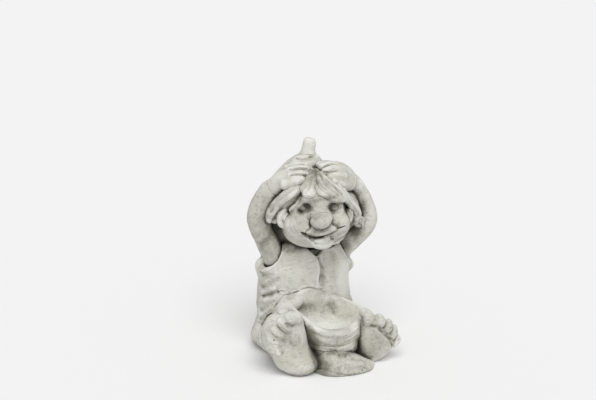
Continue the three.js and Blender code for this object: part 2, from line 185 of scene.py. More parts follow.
class Form:
    """Distances to one form's surface, negative inside, in a box of voxels round it."""

    def __init__(self, low, high, room):
        self.start = np.floor((low - room) / STEP).astype(int)
        count = np.ceil((high + room) / STEP).astype(int) - self.start + 1
        self.field = np.full(count, BAND, np.float32)

    def around(self, low, high):
        """The voxels between two corners, and their coordinates."""
        a = np.maximum(np.floor(low / STEP).astype(int) - self.start, 0)
        b = np.minimum(np.ceil(high / STEP).astype(int) - self.start + 1, self.field.shape)
        if (b <= a).any():
            return None, None
        x, y, z = (
            (np.arange(i, j, dtype=np.float32) + np.float32(s)) * np.float32(STEP)
            for i, j, s in zip(a, b, self.start)
        )
        return block(a, b), (x[:, None, None], y[None, :, None], z[None, None, :])

    def add(self, shape, soft, sign=1):
        low, high, distance = shape
        cells, grid = self.around(low - soft, high + soft)
        if cells:
            self.field[cells] = sign * melt(sign * self.field[cells], distance(*grid), soft)

    def cut(self, shape, soft):
        self.add(shape, soft, -1)

    def limb(self, soft, *points, flat=None):
        """Adds a tube. Each point is x, y, z and radius."""
        self.add(tube(points, flat), soft)

    def strand(self, soft, *points):
        """Adds a tube that is known by the line along its front. Each point is x, y, z and radius."""
        rows = np.array(points, float)
        rows[:, :3] += rows[:, 3:] * np.array(INWARD)
        self.add(tube(rows), soft)

    def round(self, sigma):
        self.field = blurred(self.field, sigma)

    def sample(self, points):
        """Field and gradient at points, read between the voxels."""
        p = np.clip(points / STEP - self.start, 1, np.array(self.field.shape) - 2.001)
        i = np.floor(p).astype(int)
        slope = [
            (between(self.field, i, p - i, axis) - between(self.field, i, p - i, -axis)) / (2 * STEP)
            for axis in np.eye(3, dtype=int)
        ]
        return between(self.field, i, p - i), np.stack(slope, 1)

    def on_skin(self, p):
        """Points moved onto the surface, and the outward direction there."""
        for _ in range(LEAPS):
            d, slope = self.sample(p)
            size = np.maximum((slope**2).sum(1), 0.05)
            p = p - np.clip(d / size, -LEAP, LEAP)[:, None] * slope
        out = slope / np.maximum(np.linalg.norm(slope, axis=1), 1e-6)[:, None]
        return p, out

    def crease(self, depth, soft, *points):
        """A groove along the surface. Each point is x, y, z and the radius of its bottom."""
        line = smooth_line(points, 4)
        p, out = self.on_skin(line[:, :3])
        r = np.maximum(line[:, 3], THINNEST)
        passes = max(1, math.ceil(depth / (DEEPER * r.min())))
        for share in np.linspace(0, 1, passes, endpoint=False):
            lift = (r - depth) + share * depth
            wide = r * (1 + FLARE * share)
            self.cut(tube(np.column_stack([p + out * lift[:, None], wide]), steps=1), soft)

    def ridge(self, proud, soft, *points):
        """A roll along the surface. Each point is x, y, z and the radius of the roll."""
        line = smooth_line(points, 4)
        p, out = self.on_skin(line[:, :3])
        r = np.maximum(line[:, 3], THINNEST)
        self.add(tube(np.column_stack([p - out * (r - proud)[:, None], r]), steps=1), soft)

    def part(self, name, shape):
        """What a shape takes of this form becomes the form of a node of its own."""
        form = blank(name)
        a = np.maximum(form.start, self.start)
        b = np.minimum(form.start + form.field.shape, self.start + self.field.shape)
        whole = self.field[block(a - self.start, b - self.start)]
        form.field[block(a - form.start, b - form.start)] = whole - np.float32(LEAD)
        region = np.full_like(form.field, BAND)
        cells, grid = form.around(shape[0] - 1, shape[1] + 1)
        region[cells] = shape[2](*grid)
        form.field = np.maximum(form.field, region)


forms = {}  # by the name of the node that each stands for


def blank(name, room=ROOM):
    """An empty form with a CAD solid's box."""
    low, high = (np.array(corner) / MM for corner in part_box(name))
    forms[name] = Form(low, high, room)
    return forms[name]


def from_node(name, room=ROOM):
    """The form of a CAD solid, its facets smoothed away."""
    form = blank(name, room)
    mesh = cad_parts[name].data
    points = np.empty(len(mesh.vertices) * 3, np.float32)
    mesh.vertices.foreach_get("co", points)
    mesh.calc_loop_triangles()
    triangles = np.empty(len(mesh.loop_triangles) * 3, np.int32)
    mesh.loop_triangles.foreach_get("vertices", triangles)
    grid = openvdb.FloatGrid.createLevelSetFromPolygons(
        points=points.reshape(-1, 3) / MM,
        triangles=triangles.reshape(-1, 3).astype(np.uint32),
        transform=openvdb.createLinearTransform(STEP),
        halfWidth=BAND / STEP,
    )
    grid.copyToArray(form.field, ijk=tuple(int(v) for v in form.start))
    form.round(FACETS)
    form.field -= np.float32(REGAINED)
    return form


def pare(soft, names, *points, thin=0.4):
    """Cuts the side of some forms back to a tube that is drawn out from front to back."""
    for name in names:
        forms[name].cut(tube(points, (INWARD, thin)), soft)


# Head

HEAD = {"at": (4, -4, 204), "yaw": -14, "pitch": -7, "roll": -2}
head_axes = turned(z=HEAD["yaw"]) @ turned(x=HEAD["pitch"]) @ turned(y=HEAD["roll"])


def on_head(x, y, z):
    """A point given in the turned axes of the head."""
    return head_axes @ np.array((x, y, z), float) + HEAD["at"]


def head_ball(middle, radii, turn=np.eye(3)):
    """An ellipsoid in the turned axes of the head."""
    return ball(on_head(*middle), radii, head_axes @ turn)


head = blank("head")
for middle, radii, soft in (
    ((-2, 5, 4), (46, 46, 47), 0),
    ((-7, -5, -16), (42, 40, 30), 10),
    ((-28, -29.5, -8), (20, 14, 17), 9),
    ((25.5, -31, -8), (15.5, 14, 15), 7),
    ((15, -15, -14), (31, 28, 24), 6),
    ((3, -42, -17), (24, 12, 11), 7),
    ((2, -38, -35), (16, 12, 10), 6),
    # Brow and sockets
    ((0, -37, 27), (25, 9, 11), 8),
    ((1, -38, 9), (15, 10, 13), 9),
    ((-22, -32, 13), (15, 9.6, 12), 8),
    ((21, -31, 12), (14, 9, 11), 8),
):
    head.add(head_ball(middle, radii), soft)

# Eyes: the sockets are shallow, and the right one has two small pits with a lid between them.
head.cut(head_ball((-21.5, -47.5, 14.5), (11, 8, 8)), 5)
head.cut(head_ball((21.6, -46, 12.6), (10.6, 8.6, 9)), 4)
head.round(1.1)
head.cut(head_ball((-18, -43, 17.8), (4.8, 6, 2.8), turned(y=20)), 3.5)
head.cut(head_ball((-27, -42, 11.4), (5, 6, 2.4), turned(y=34)), 3.2)
lid = blank("right_eye")
lid.limb(0, (*on_head(-25.6, -38, 16.6), 1.8), (*on_head(-22.5, -38, 14.4), 2.8),
         (*on_head(-18.6, -37.6, 12), 1.8))
eye = blank("left_eye")
eye.add(head_ball((21.4, -35.6, 12), (7.4, 4, 5.4)), 0)
eye.cut(head_ball((21.4, -40.6, 13.4), (5.4, 2.4, 0.8)), 1.2)
head.ridge(0.8, 5, (3.5, -47, 216, 2), (10, -50, 212.5, 3), (18, -50, 212, 3), (26, -45, 215.5, 2))
head.crease(0.7, 1.5, (-31, -38, 213.5, 0.8), (-38, -36, 210.5, 0.7))
head.crease(0.7, 1.5, (-34, -36, 218.5, 0.8), (-41, -33, 216, 0.7))
head.crease(1.8, 1.5, (-10, -44, 241.5, 1.2), (-2, -46.5, 239.5, 1.6), (6, -48, 236, 1.8),
            (14, -48, 231.5, 1.4))
head.crease(0.8, 3, (-13, -46, 226, 1), (-7, -49, 225, 1.3), (0, -48, 226.5, 1))

# Nose: a broad potato, its right end higher, that runs out softly into the bridge
nose = blank("nose")
nose.add(head_ball((0.5, -55, -4), (13.4, 12.4, 9.6), turned(y=-17)), 0)
for form in (nose, head):
    form.add(head_ball((1.5, -47, 2.5), (10.5, 8, 7.5)), 7)
nose.add(head_ball((-9.5, -51, -3.5), (5.4, 7, 5.6)), 4)
nose.add(head_ball((11, -50, 0), (5, 7, 5.4)), 4)
nose.round(0.8)

# Mouth: the upper lip is a full band over a dark slit, and the lower lip meets the chin.
head.ridge(2.0, 2, (-28, -45, 192, 2.4), (-22.8, -50, 191, 3), (-14.4, -54, 189.6, 3.4),
           (-5.8, -57, 190.6, 3.6), (3.6, -58, 193.4, 3.8), (11, -57, 195.2, 3))
head.ridge(0.6, 2, (4, -58, 195, 3), (9, -57, 196, 2.6))
head.crease(5.5, 1, (-32, -40, 190, 1), (-28.5, -43, 187, 2.5), (-23, -44, 184.6, 2.9),
            (-18.5, -47, 183.2, 2.8), (-13, -52, 183.6, 2.6), (-4.2, -57, 186, 2.4), (5, -59, 188.9, 1.8),
            (13, -58, 192.6, 1.4), (18.5, -55, 194.6, 1.1), (27, -51, 196, 0.9))
head.cut(ball((-21, -47, 183.4), (9, 6, 2.6), turned(y=12)), 1.5)
head.cut(ball((-11, -53, 183), (7, 5, 2.2), turned(y=-10)), 1.5)
head.ridge(1.6, 2, (-15.5, -50, 178.6, 3), (-8.3, -53, 178, 3.6), (0, -55, 180.4, 3.2),
           (4.5, -56, 182.5, 2.4))
head.add(ball((11.5, -52.5, 184.5), (5, 4.2, 4.4)), 2)
head.add(ball((-1.5, -54, 183.5), (2.6, 2.6, 2.8)), 1.2)
head.crease(2.4, 1, (-20.5, -44, 184, 1), (-18.9, -48, 180.4, 1.3), (-16.5, -50, 175.4, 0.9))
head.crease(2.2, 1, (3.5, -55, 186, 1), (5.6, -55, 181.5, 1.2), (9.5, -52, 178.6, 1.2),
            (15.5, -49, 179.5, 0.9))
head.crease(0.8, 2, (-12, -50, 175, 1), (-5, -53, 173.4, 1.4), (3, -54, 175, 1))

# Smile lines and cheeks
head.crease(2.8, 1.2, (-17, -40, 206, 1), (-19.6, -43, 200.5, 1.6), (-21.5, -47, 196.5, 1.4),
            (-27, -46, 191.5, 0.9))
head.crease(3.2, 1.2, (9.5, -54, 201, 1.4), (12.5, -57, 197.5, 1.9), (17, -57, 194, 1.2))
head.crease(1.1, 2, (-47, -32.5, 202, 0.8), (-46.5, -33, 196, 1), (-43.5, -35.5, 189, 0.8))
head.crease(0.8, 2, (-42, -36, 200, 0.8), (-41.5, -37.5, 194, 0.9), (-38, -40, 187, 0.7))
head.crease(2.2, 1.5, (14, -50, 179, 1), (20, -48, 182.5, 1.5), (27, -46, 185.5, 1.3), (34, -42, 188, 0.8))
head.round(0.7)

# Ears
ear = blank("right_ear")
ear.add(ball((-48.5, -13, 206), (9, 6.4, 15), head_axes @ turned(y=10)), 0)
ear.limb(3, (-41.5, -16, 220, 2), (-49, -17.6, 216.5, 2.5), (-54.5, -17, 209.5, 2.6), (-55, -16, 201, 2.6),
         (-50, -17.6, 195, 2.8), (-45, -20, 192.5, 2.6))
ear.limb(1.5, (-44.5, -20.5, 213.5, 1.6), (-49, -20.5, 207, 1.9), (-47, -21.5, 199.5, 1.8))
ear.crease(0.9, 2, (-45, -21, 208, 0.9), (-45.5, -21, 202.5, 1.2), (-42.5, -22.5, 196.5, 1))
ear.round(1.0)
ear = blank("left_ear")
ear.add(ball((45.5, -23, 204), (4.5, 7, 8.5)), 0)
ear.limb(2, (45.5, -29, 212, 1.6), (49, -28, 207, 2.3), (49.5, -28, 201.5, 2.3), (46.5, -30, 196.5, 2.6))

# Hands
hand = blank("right_hand")
hand.limb(0, (-58, 12, 240, 11), (-53, 6, 247, 13), (-43, 0, 257, 14), (-31, -4, 263.5, 12),
          (-22, -7, 265, 8.5), flat=((0.2, -0.6, 1), 1.25))
for finger in (
    [(-34, 6, 271, 5.4), (-20, 4, 274.5, 5.2), (-9, 3.5, 273.5, 4.6)],
    [(-34, -4, 269, 5.8), (-20, -5, 271.5, 5.4), (-9.5, -6.5, 270, 4.8)],
    [(-37, -12, 264, 5.8), (-24, -13, 266, 5.4), (-14, -15, 264.5, 4.6)],
    [(-44, -13, 254, 9), (-33, -18.5, 258, 8.4), (-25, -21.5, 259.5, 6.2)],
):
    hand.limb(4, *finger)
hand.crease(2.2, 1.5, (-36, -8, 272, 0.8), (-28.5, -9.8, 271.7, 1.2), (-23, -9.9, 272.8, 1.3),
            (-12, -11, 271.8, 1.3))
hand.crease(1.6, 1.5, (-33, 0, 275, 0.8), (-23, -2, 276, 1.1), (-12, -2, 275, 1.3))
hand.crease(1.8, 2, (-38, -15.5, 265, 0.8), (-26, -18, 265.8, 1.2), (-17, -20, 264, 1.3))

hand = blank("left_hand")
hand.limb(0, (66, 14, 234, 11), (61, 9, 243, 13.5), (53, 4, 253, 15), (42, 1, 261, 14.5), (31, -3, 264, 10),
          flat=((-0.2, -0.6, 1), 1.2))
hand.strand(5, (54, -8, 243, 9), (42, -18, 246.5, 9.5), (31, -26, 249.5, 8.5), (20.5, -29, 254, 6.5))
for finger in (
    [(40, 13, 268, 5.6), (26, 13, 271, 5.4), (16.5, 13, 270.5, 5)],
    [(40, 4, 269.5, 6), (26, 4, 271.4, 5.6), (16, 3, 269.8, 5)],
    [(42, -5, 264.5, 6.2), (27, -6, 266.4, 5.8), (16, -9, 265.5, 5)],
    [(42, -11, 256.5, 8), (29, -16, 258.5, 7), (19.5, -18.5, 258.5, 5.4)],
):
    hand.limb(4, *finger)
hand.crease(2, 1.5, (15, -4, 270.6, 1.3), (22, -2.5, 271.7, 1.3), (29, -2, 271, 1.2), (35, -3, 269.5, 0.8))
hand.crease(1.8, 1.5, (13, -14, 264.5, 1.4), (22, -14.4, 264.6, 1.3), (32, -15, 262, 0.8))
hand.crease(1.9, 1, (66, -4, 257, 0.8), (65.6, -7.5, 252, 1), (65, -8.5, 247.5, 1.1), (61.8, -11, 242, 1.1),
            (55, -14, 238, 1), (50, -14.5, 235, 0.8))
hand.crease(0.9, 1.5, (19, 3, 276, 0.8), (28, 4, 277.4, 1), (38, 4, 275, 0.7))

# Sleeves: fuller at the elbows, drawn in towards wrist and armpit.
right_sleeve = from_node("right_sleeve")
right_sleeve.limb(6, (-72.6, 10, 232, 9.5), (-77.8, 10, 221, 11), (-82, 10, 205, 11.2), (-80, 10, 192, 11),
                  (-74.4, 10, 177, 10.5))
left_sleeve = from_node("left_sleeve")
left_sleeve.limb(5, (82, 4, 217, 11), (88.6, 3, 201, 12), (90.8, 2, 187, 12), (86.6, 3, 173, 11.4),
                 (79, 6, 161, 10.2))
pare(3, ["right_sleeve"], (-88, 14, 162, 10), (-84.8, 14, 150, 11), (-78, 14, 140, 10))
pare(5, ["left_sleeve"], (111.5, 14, 155.4, 12), (93.3, 14, 134.8, 14), (79.9, 14, 124, 14))
pare(4, ["left_sleeve", "left_hand"], (64.6, 6, 282.6, 14), (81, 6, 266.2, 14), (94, 6, 249.4, 14),
     (107, 6, 232, 14))

# Cuffs: the edge of each sleeve stands proud round the wrist.
right_sleeve.ridge(1.3, 1.2, (-58, 22, 252, 1.6), (-61.6, 12.3, 254.6, 1.8), (-62, 3.4, 250, 1.8),
                   (-57.7, -3, 244, 1.8), (-52, -4, 238, 1.6), (-47, 2, 234, 1.4))
left_sleeve.ridge(1.3, 1.2, (66, 20, 252, 1.6), (71, 7, 252, 1.8), (68, -2, 247, 1.8), (63, -6, 241, 1.8),
                  (59, -6, 235, 1.6), (53, 0, 231, 1.4))

# Hair
lock = blank("right_side_lock")
lock.limb(0, (-27, -20, 250, 8), (-36, -20.5, 243, 9.6), (-47, -15, 233, 9.6), (-55, -7, 222, 9),
          (-61, -1, 210, 8), (-63, 1, 202, 6))
lock.strand(2, (-27, -28, 240, 5), (-36, -26, 232, 7), (-44.5, -19, 222.5, 7.4), (-52, -11, 212, 7),
            (-56.5, -5, 204, 5.5))
lock.add(ball((-65, -3, 201), (4.6, 4.6, 4.2)), 2)
lock.add(ball((-56, -1.5, 199.5), (5, 5, 4.4)), 2)
lock.limb(3, (-33, -27, 246, 3), (-43, -25.5, 239, 4), (-51, -18, 230, 3))
lock.limb(3, (-55, -13, 221, 3), (-60, -7, 212, 4), (-62.5, -4, 206, 3))
lock.cut(ball((-66, -9, 219), (4, 5, 6)), 4)
lock.crease(1.6, 3, (-37.5, -28, 237.5, 1), (-47, -23, 228, 1.6), (-54.5, -14.5, 217, 1.8),
            (-60, -7, 205.5, 1.6), (-60.5, -5, 199, 1.2))
lock.crease(0.7, 2.5, (-34, -28, 250.5, 0.8), (-50, -23, 239.5, 1.1), (-59.5, -13, 226, 1.1),
            (-65, -6, 213, 0.9))
lock.crease(0.7, 2.5, (-36, -26, 229.5, 0.8), (-46, -16, 218, 1.1), (-53, -8, 207, 0.9))
wisp = blank("right_temple_lock")
wisp.limb(0, (-27, -27, 238, 3), (-31, -29.5, 232, 2.8), (-35, -29, 226, 2.4), (-39.5, -27, 222.5, 2.6),
          (-42, -24, 218.5, 2), (-39, -25.5, 215.5, 1.6))
wisp.limb(1, (-31, -30, 229.5, 1.7), (-28.5, -31.5, 233.5, 1.5), (-27.5, -31, 237, 1.2))

lock = blank("forelock")
lock.strand(0, (-7, -17, 266, 6), (-11, -27, 259.5, 8), (-17, -36, 252.5, 9), (-19.5, -42, 245.5, 9))
lock.add(ball((-18.8, -35, 243.6), (9.8, 8.4, 7.6), head_axes), 3)
lock.strand(2, (-15, -25, 261, 5), (-22, -31, 255, 5.4), (-27, -33, 249.5, 5))
lock.crease(1.4, 2, (-10, -24, 263, 0.9), (-16, -33, 256.5, 1.3), (-22, -40, 250, 1.1), (-26, -39, 244, 0.8))
lock.crease(0.9, 2, (-5.5, -25, 260, 0.8), (-9.5, -35, 253, 1.1), (-13, -41, 247.5, 0.8))
lock.crease(0.9, 1.5, (-18, -43, 238.5, 0.8), (-23, -42, 240, 1))

lock = blank("left_fringe")
for line in (
    [(-4, -15.4, 265.1, 5), (-8.5, -29.5, 256, 6), (-7.7, -41.2, 248, 6.4), (0.7, -47.5, 242.2, 6),
     (11.3, -49.6, 236, 4.8), (19, -49.5, 231.5, 2.8)],
    [(1.2, -12, 266.8, 5), (-1.5, -29.8, 259.3, 6), (3, -41, 251.6, 6.4), (11, -47.5, 245, 6),
     (20, -49, 237, 4.6), (25, -48.5, 231, 2.6)],
    [(4.6, -18.5, 265, 4.6), (8.3, -35, 257, 5.6), (15.9, -43, 248, 6), (24.5, -47, 238, 4.8),
     (28.5, -47.5, 231.5, 2.6)],
    [(16.2, -41, 252.5, 2.8), (24, -44.5, 246, 3), (29.5, -46.5, 239, 2.8), (31, -46.5, 232, 1.8)],
):
    lock.strand(1.2, *line)
lock.crease(2, 1, (-3, -20, 264, 0.9), (-5.5, -33, 256, 1.3), (-2, -44, 247.6, 1.6), (6, -48, 241.5, 1.4),
            (13, -50, 236.5, 0.9))
lock.crease(2, 1, (3, -20, 264.5, 0.9), (3.5, -37, 256, 1.4), (9.5, -45, 248.4, 1.5), (16, -49, 243, 1.2),
            (21, -49.5, 238.5, 0.8))
lock.crease(1.4, 1, (14, -40, 254, 0.8), (20, -45, 246.5, 1), (26, -47, 239.5, 0.9))
lock.crease(0.7, 1, (-6.5, -22, 262, 0.6), (-10, -35, 252.5, 0.8), (-4.5, -45, 244, 0.8),
            (5, -49, 238.5, 0.6))
lock.crease(0.6, 1, (8, -30, 260, 0.6), (13, -42, 251.5, 0.8), (22, -48, 241.5, 0.6))

lock = blank("left_temple_lock")
for line in (
    [(24, -40, 250, 3.6), (28, -43, 242, 4.4), (33, -43, 234, 4.8), (41.4, -37.5, 225, 5.2),
     (53, -31, 214.5, 5.6), (62, -22, 203, 5.4), (60.7, -20, 195, 3.8)],
    [(33, -35, 243, 3.4), (40, -31, 234, 3.8), (49, -24, 225, 3.8), (57, -16, 216, 3.4)],
):
    lock.strand(1.6, *line)
lock.crease(1.6, 1.5, (30, -41, 241, 0.8), (37, -40, 231, 1.2), (46, -35, 220.5, 1.3), (56, -28, 210, 1.2),
            (64, -19, 200.5, 0.9))
curl = blank("left_ear_curl")
for line in (
    [(62, -19, 199, 3.4), (69, -13.5, 194.5, 3.2), (76, -9.5, 190.5, 2.8), (81, -5, 184.5, 2.2)],
    [(61, -19, 193, 3.4), (68, -14, 189.5, 3.2), (75, -9, 184, 2.8), (77, -6, 178.5, 2)],
    [(60, -18, 188, 3.4), (64, -15, 184, 3), (70, -10, 181, 2.2)],
):
    curl.strand(1, *line)
hair = from_node("back_hair")
hair.limb(6, (-49, 22, 205, 9), (-47, 24, 188, 11), (-42, 27, 170, 12))
hair.cut(ball((60, -14, 172), (24, 20, 22)), 6)
hair.cut(ball((-56, -4, 184), (9, 12, 16)), 5)
for u in np.arange(6) / 5:
    hair.crease(2, 3, (-52 + 8 * u, 20 + 30 * u, 232 - 6 * u, 1.4), (-58 + 14 * u, 24 + 33 * u, 205, 2),
                (-50 + 12 * u, 22 + 28 * u, 176, 1.4))
    hair.crease(2, 3, (58 - 8 * u, 24 + 30 * u, 232 - 6 * u, 1.4), (70 - 14 * u, 28 + 33 * u, 205, 2),
                (58 - 12 * u, 26 + 28 * u, 172, 1.4))
for side in (-1, 1):
    hair.crease(2, 3, (3 + side * 9, 54, 236, 1.4), (3 + side * 11, 56, 205, 2),
                (3 + side * 8, 50, 172, 1.4))

# Cap: its front is rolled up over the hair, and it runs up smoothly into the tail.
cap = from_node("cap", CAP_ROOM)
cap.limb(6, (-6.5, 36, 260, 15), (4, 41, 270, 12.6), (10, 43, 279, 10.4), (12.9, 44, 288.5, 9),
         (14, 44, 296.5, 8.7))
cap.cut(ball((18, 44, 310.4), (16, 14, 7), turned(y=10)), 3)
cap.ridge(1.6, 3, (-34, 4, 264, 4), (-22, 12, 270, 4.5), (-8, 16, 275, 5), (8, 18, 277, 5),
          (19, 20, 274, 4.6), (30, 12, 268, 4))
cap.ridge(2.4, 2, (17, 29, 279, 4), (21.5, 27, 277, 4.6), (22, 20, 273, 4))
cap.crease(2.2, 2, (-12, 33, 279, 1), (-6, 27, 278, 1.6), (1, 25, 279, 1.8), (9.5, 27, 280.6, 1.8),
           (17, 28, 281, 1.4))
cap.crease(1.4, 2, (-14, 22, 275, 1), (-4, 20, 277, 1.6), (7, 20, 278, 1.6))
cap.ridge(1.4, 1, (-10.5, 33, 280, 1.8), (-8.5, 31, 280, 1.8))
cap.cut(ball((17.5, 34.5, 297), (2.2, 2, 2.6)), 2)
for fold in (
    [(2, 56, 284, 1.4), (-14, 62, 268, 2), (-32, 58, 246, 1.6)],
    [(14, 57, 286, 1.4), (14, 68, 262, 2), (10, 70, 240, 1.6)],
    [(23, 50, 284, 1.4), (36, 54, 262, 2), (44, 50, 244, 1.6)],
):
    cap.crease(1.5, 4, *fold)
pare(4, ["cap"], (-48, 30, 273.5, 13), (-35, 33, 281.5, 13.4), (-21, 37, 290.5, 13.4),
     (-13.4, 40, 297.2, 11.6), (-7.6, 43, 302.4, 11))
cap.part("cap_tail", ball((13, 43, 297), (26, 22, 17)))

# Trunk and legs, which are only pared
for name in ("torso", "seat", "right_leg", "left_leg"):
    from_node(name)

# Waistcoat: two fronts, the right one over the left one, with a cord in the hem and wrinkled flanks
coat = from_node("waistcoat")
coat.ridge(1.2, 3, (6, -9, 139.5, 2), (3.5, -13, 134, 2), (4, -15, 126.7, 2), (3, -16, 117.8, 2),
           (1.5, -16, 108.6, 2), (2, -17, 101, 2))
coat.crease(2.6, 2, (7.5, -10, 140, 1), (8.2, -13, 134, 1.6), (9.6, -15, 126.7, 2.2), (9, -16.5, 117.8, 2.4),
            (6.6, -16.5, 108.6, 1.6), (7.2, -17.5, 102, 1.6), (8.4, -18, 95, 1.2))
coat.cut(ball((13, -17.5, 104), (4.4, 2.2, 9), turned(y=-8)), 3)
coat.ridge(1.6, 2, (-44, 16, 160, 1.4), (-44, 6, 150, 1.6), (-50, 4, 140, 1.8), (-57, 6, 131, 2),
           (-64, 13, 124.5, 2.2), (-68, 26, 119.5, 2.2), (-66, 40, 121, 2))
coat.ridge(1.3, 2, (46, 12, 158, 1.4), (49, 4, 148, 1.5), (56, 2, 139, 1.6), (63, 5, 130, 1.8),
           (68, 16, 123, 1.8))
for dent in (
    [(-73.5, 25, 93.5, 1.6), (-70.8, 17, 96.6, 2.8), (-66.1, 8, 101.5, 3), (-60, 3, 107, 2.6),
     (-52, -2, 113, 1.4)],
    [(-72, 20, 82, 1.4), (-69, 13, 85.4, 2.2), (-64.6, 6, 88.4, 2.6), (-57, 1, 91.5, 1.4),
     (-52, -2, 94, 0.8)],
):
    coat.crease(1.6, 5, *dent)
for dent in (
    [(-73, 24, 112, 1.4), (-69, 14, 114.5, 2.2), (-65, 8, 117, 1.2)],
    [(-74, 26, 59, 1.8), (-72.8, 20, 61.2, 2.8), (-69, 13, 65, 2.2), (-65, 7, 69, 1.2)],
    [(-67, 9, 56, 1.2), (-64.5, 6, 60.2, 1.8), (-60, 2, 67.4, 1.8), (-54, -3, 75.5, 1)],
    [(-76.5, 24, 46, 1.6), (-74, 18, 50, 2.4), (-69.7, 8, 58.4, 1.4)],
    [(-70, 12, 49, 1), (-67, 7, 53.5, 1.6), (-62, 3, 59, 1)],
):
    coat.crease(1.1, 4.5, *dent)
for dent in (
    [(70, 40, 96, 2), (76, 22, 92, 3.4), (70, 2, 98, 2)],
    [(74, 44, 74, 2), (78, 24, 70, 3.4), (72, 2, 76, 2)],
    [(62, 60, 122, 2), (71, 46, 112, 3), (75, 30, 106, 1.6)],
    [(-50, 64, 120, 2), (-62, 54, 110, 3), (-69, 40, 104, 1.6)],
    [(-30, 80, 72, 2), (-52, 72, 62, 3.4), (-68, 54, 56, 2)],
    [(34, 82, 66, 2), (56, 74, 60, 3.4), (71, 54, 54, 2)],
    [(-24, 68, 130, 2), (4, 76, 124, 3), (30, 68, 132, 2)],
    [(-44, 76, 96, 1.6), (-24, 84, 90, 2.6), (2, 85, 92, 1.6)],
    [(10, 84, 80, 1.6), (30, 82, 84, 2.6), (50, 74, 92, 1.6)],
):
    coat.crease(1.4, 5, *dent)
for fold in (
    [(-72, 22, 88.5, 2.4), (-66, 9, 95, 3), (-57, 0, 99.5, 1.8)],
    [(-73, 24, 76, 3), (-68, 12, 79.5, 3.4), (-58, 0, 84, 2)],
    [(-73, 24, 53, 2.6), (-69, 12, 60, 2.6), (-62, 3, 67.5, 1.8)],
    [(72, 30, 84, 3), (71, 12, 84, 3), (62, -2, 90, 2)],
):
    coat.ridge(1.0, 5, *fold)
coat.ridge(1.0, 1.2, (13, -18, 95, 1.5), (4, -17, 99.5, 1.6), (-9, -17.3, 102.6, 1.6),
           (-17, -16.7, 102.4, 1.6), (-28.5, -15.5, 97.6, 1.6), (-36, -14, 95, 1.6), (-45, -9, 92, 1.7),
           (-52, -4, 84, 1.8), (-57, 0, 75, 1.8), (-60.5, 2, 65.5, 1.8), (-68.5, 12, 53, 1.9),
           (-74, 28, 42, 1.9), (-74, 50, 37, 1.9), (-58, 74, 36, 1.9), (-30, 85, 36, 1.9), (0, 88, 36, 1.9),
           (30, 86, 36, 1.9), (60, 74, 36, 1.9), (76, 50, 38, 1.9), (76, 28, 44, 1.9), (72, 8, 56, 1.8))
coat.limb(6, (-62, 26, 138, 4.4), (-69, 30, 129.5, 5.2), (-68.5, 34, 120, 4.6), (-65, 34, 108, 4))
pare(4, ["waistcoat", "torso"], (86, 10, 124, 14), (80, 10, 106, 16), (78.6, 10, 96, 16), (81.4, 9, 80, 16),
     (86, 6, 68, 16))
pare(4, ["waistcoat"], (-97.6, 10, 118, 14), (-93, 10, 105.5, 14), (-95.6, 10, 95, 14), (-96.6, 10, 86, 14),
     (-94.8, 10, 76, 14), (-98, 10, 66, 14))
coat.limb(3, (58, 12, 127, 6.4), (66.4, 11, 118, 4.8), (59.4, 12, 110, 5))
pare(5, ["seat", "right_leg", "waistcoat"], (-98, 10, 62, 14), (-99.6, 10, 48, 14), (-104.4, 10, 38, 14),
     (-107.2, 10, 28.5, 14), (-101, 10, 11.4, 14), (-89.6, 10, 1.6, 14), (-80.8, 10, -4.6, 14), thin=0.2)
pare(6, ["seat", "waistcoat"], (-82, 50, 51, 14), (-84.6, 50, 37, 14), (-90, 50, 27, 14),
     (-94, 50, 17.5, 14), thin=0.25)

button = from_node("waistcoat_button")
button.ridge(0.5, 0.5, (-41.5, -21.5, 100, 0.9), (-38.6, -21.5, 97, 0.9), (-41.5, -21.5, 94, 0.9),
             (-44.4, -21.5, 97, 0.9), (-41.5, -21.5, 100, 0.9))
coat.ridge(0.9, 0.6, (-46, -12, 97, 1.1), (-50, -10, 99, 1.1), (-53.5, -6, 96.5, 1.1), (-50.5, -7, 93, 1.1),
           (-46, -11, 94, 1.1))

# Sleeves: a few broad, shallow folds behind the elbows.
for sleeve, fold in (
    (right_sleeve, [(-60, 44, 238, 2), (-78, 40, 226, 3.4), (-90, 30, 208, 2)]),
    (right_sleeve, [(-62, 46, 192, 2), (-78, 42, 182, 3.4), (-88, 30, 168, 2)]),
    (left_sleeve, [(80, 44, 238, 2), (94, 40, 226, 3.4), (104, 28, 206, 2)]),
    (left_sleeve, [(78, 46, 182, 2), (92, 42, 172, 3.4), (98, 28, 156, 2)]),
):
    sleeve.crease(0.9, 5, *fold)

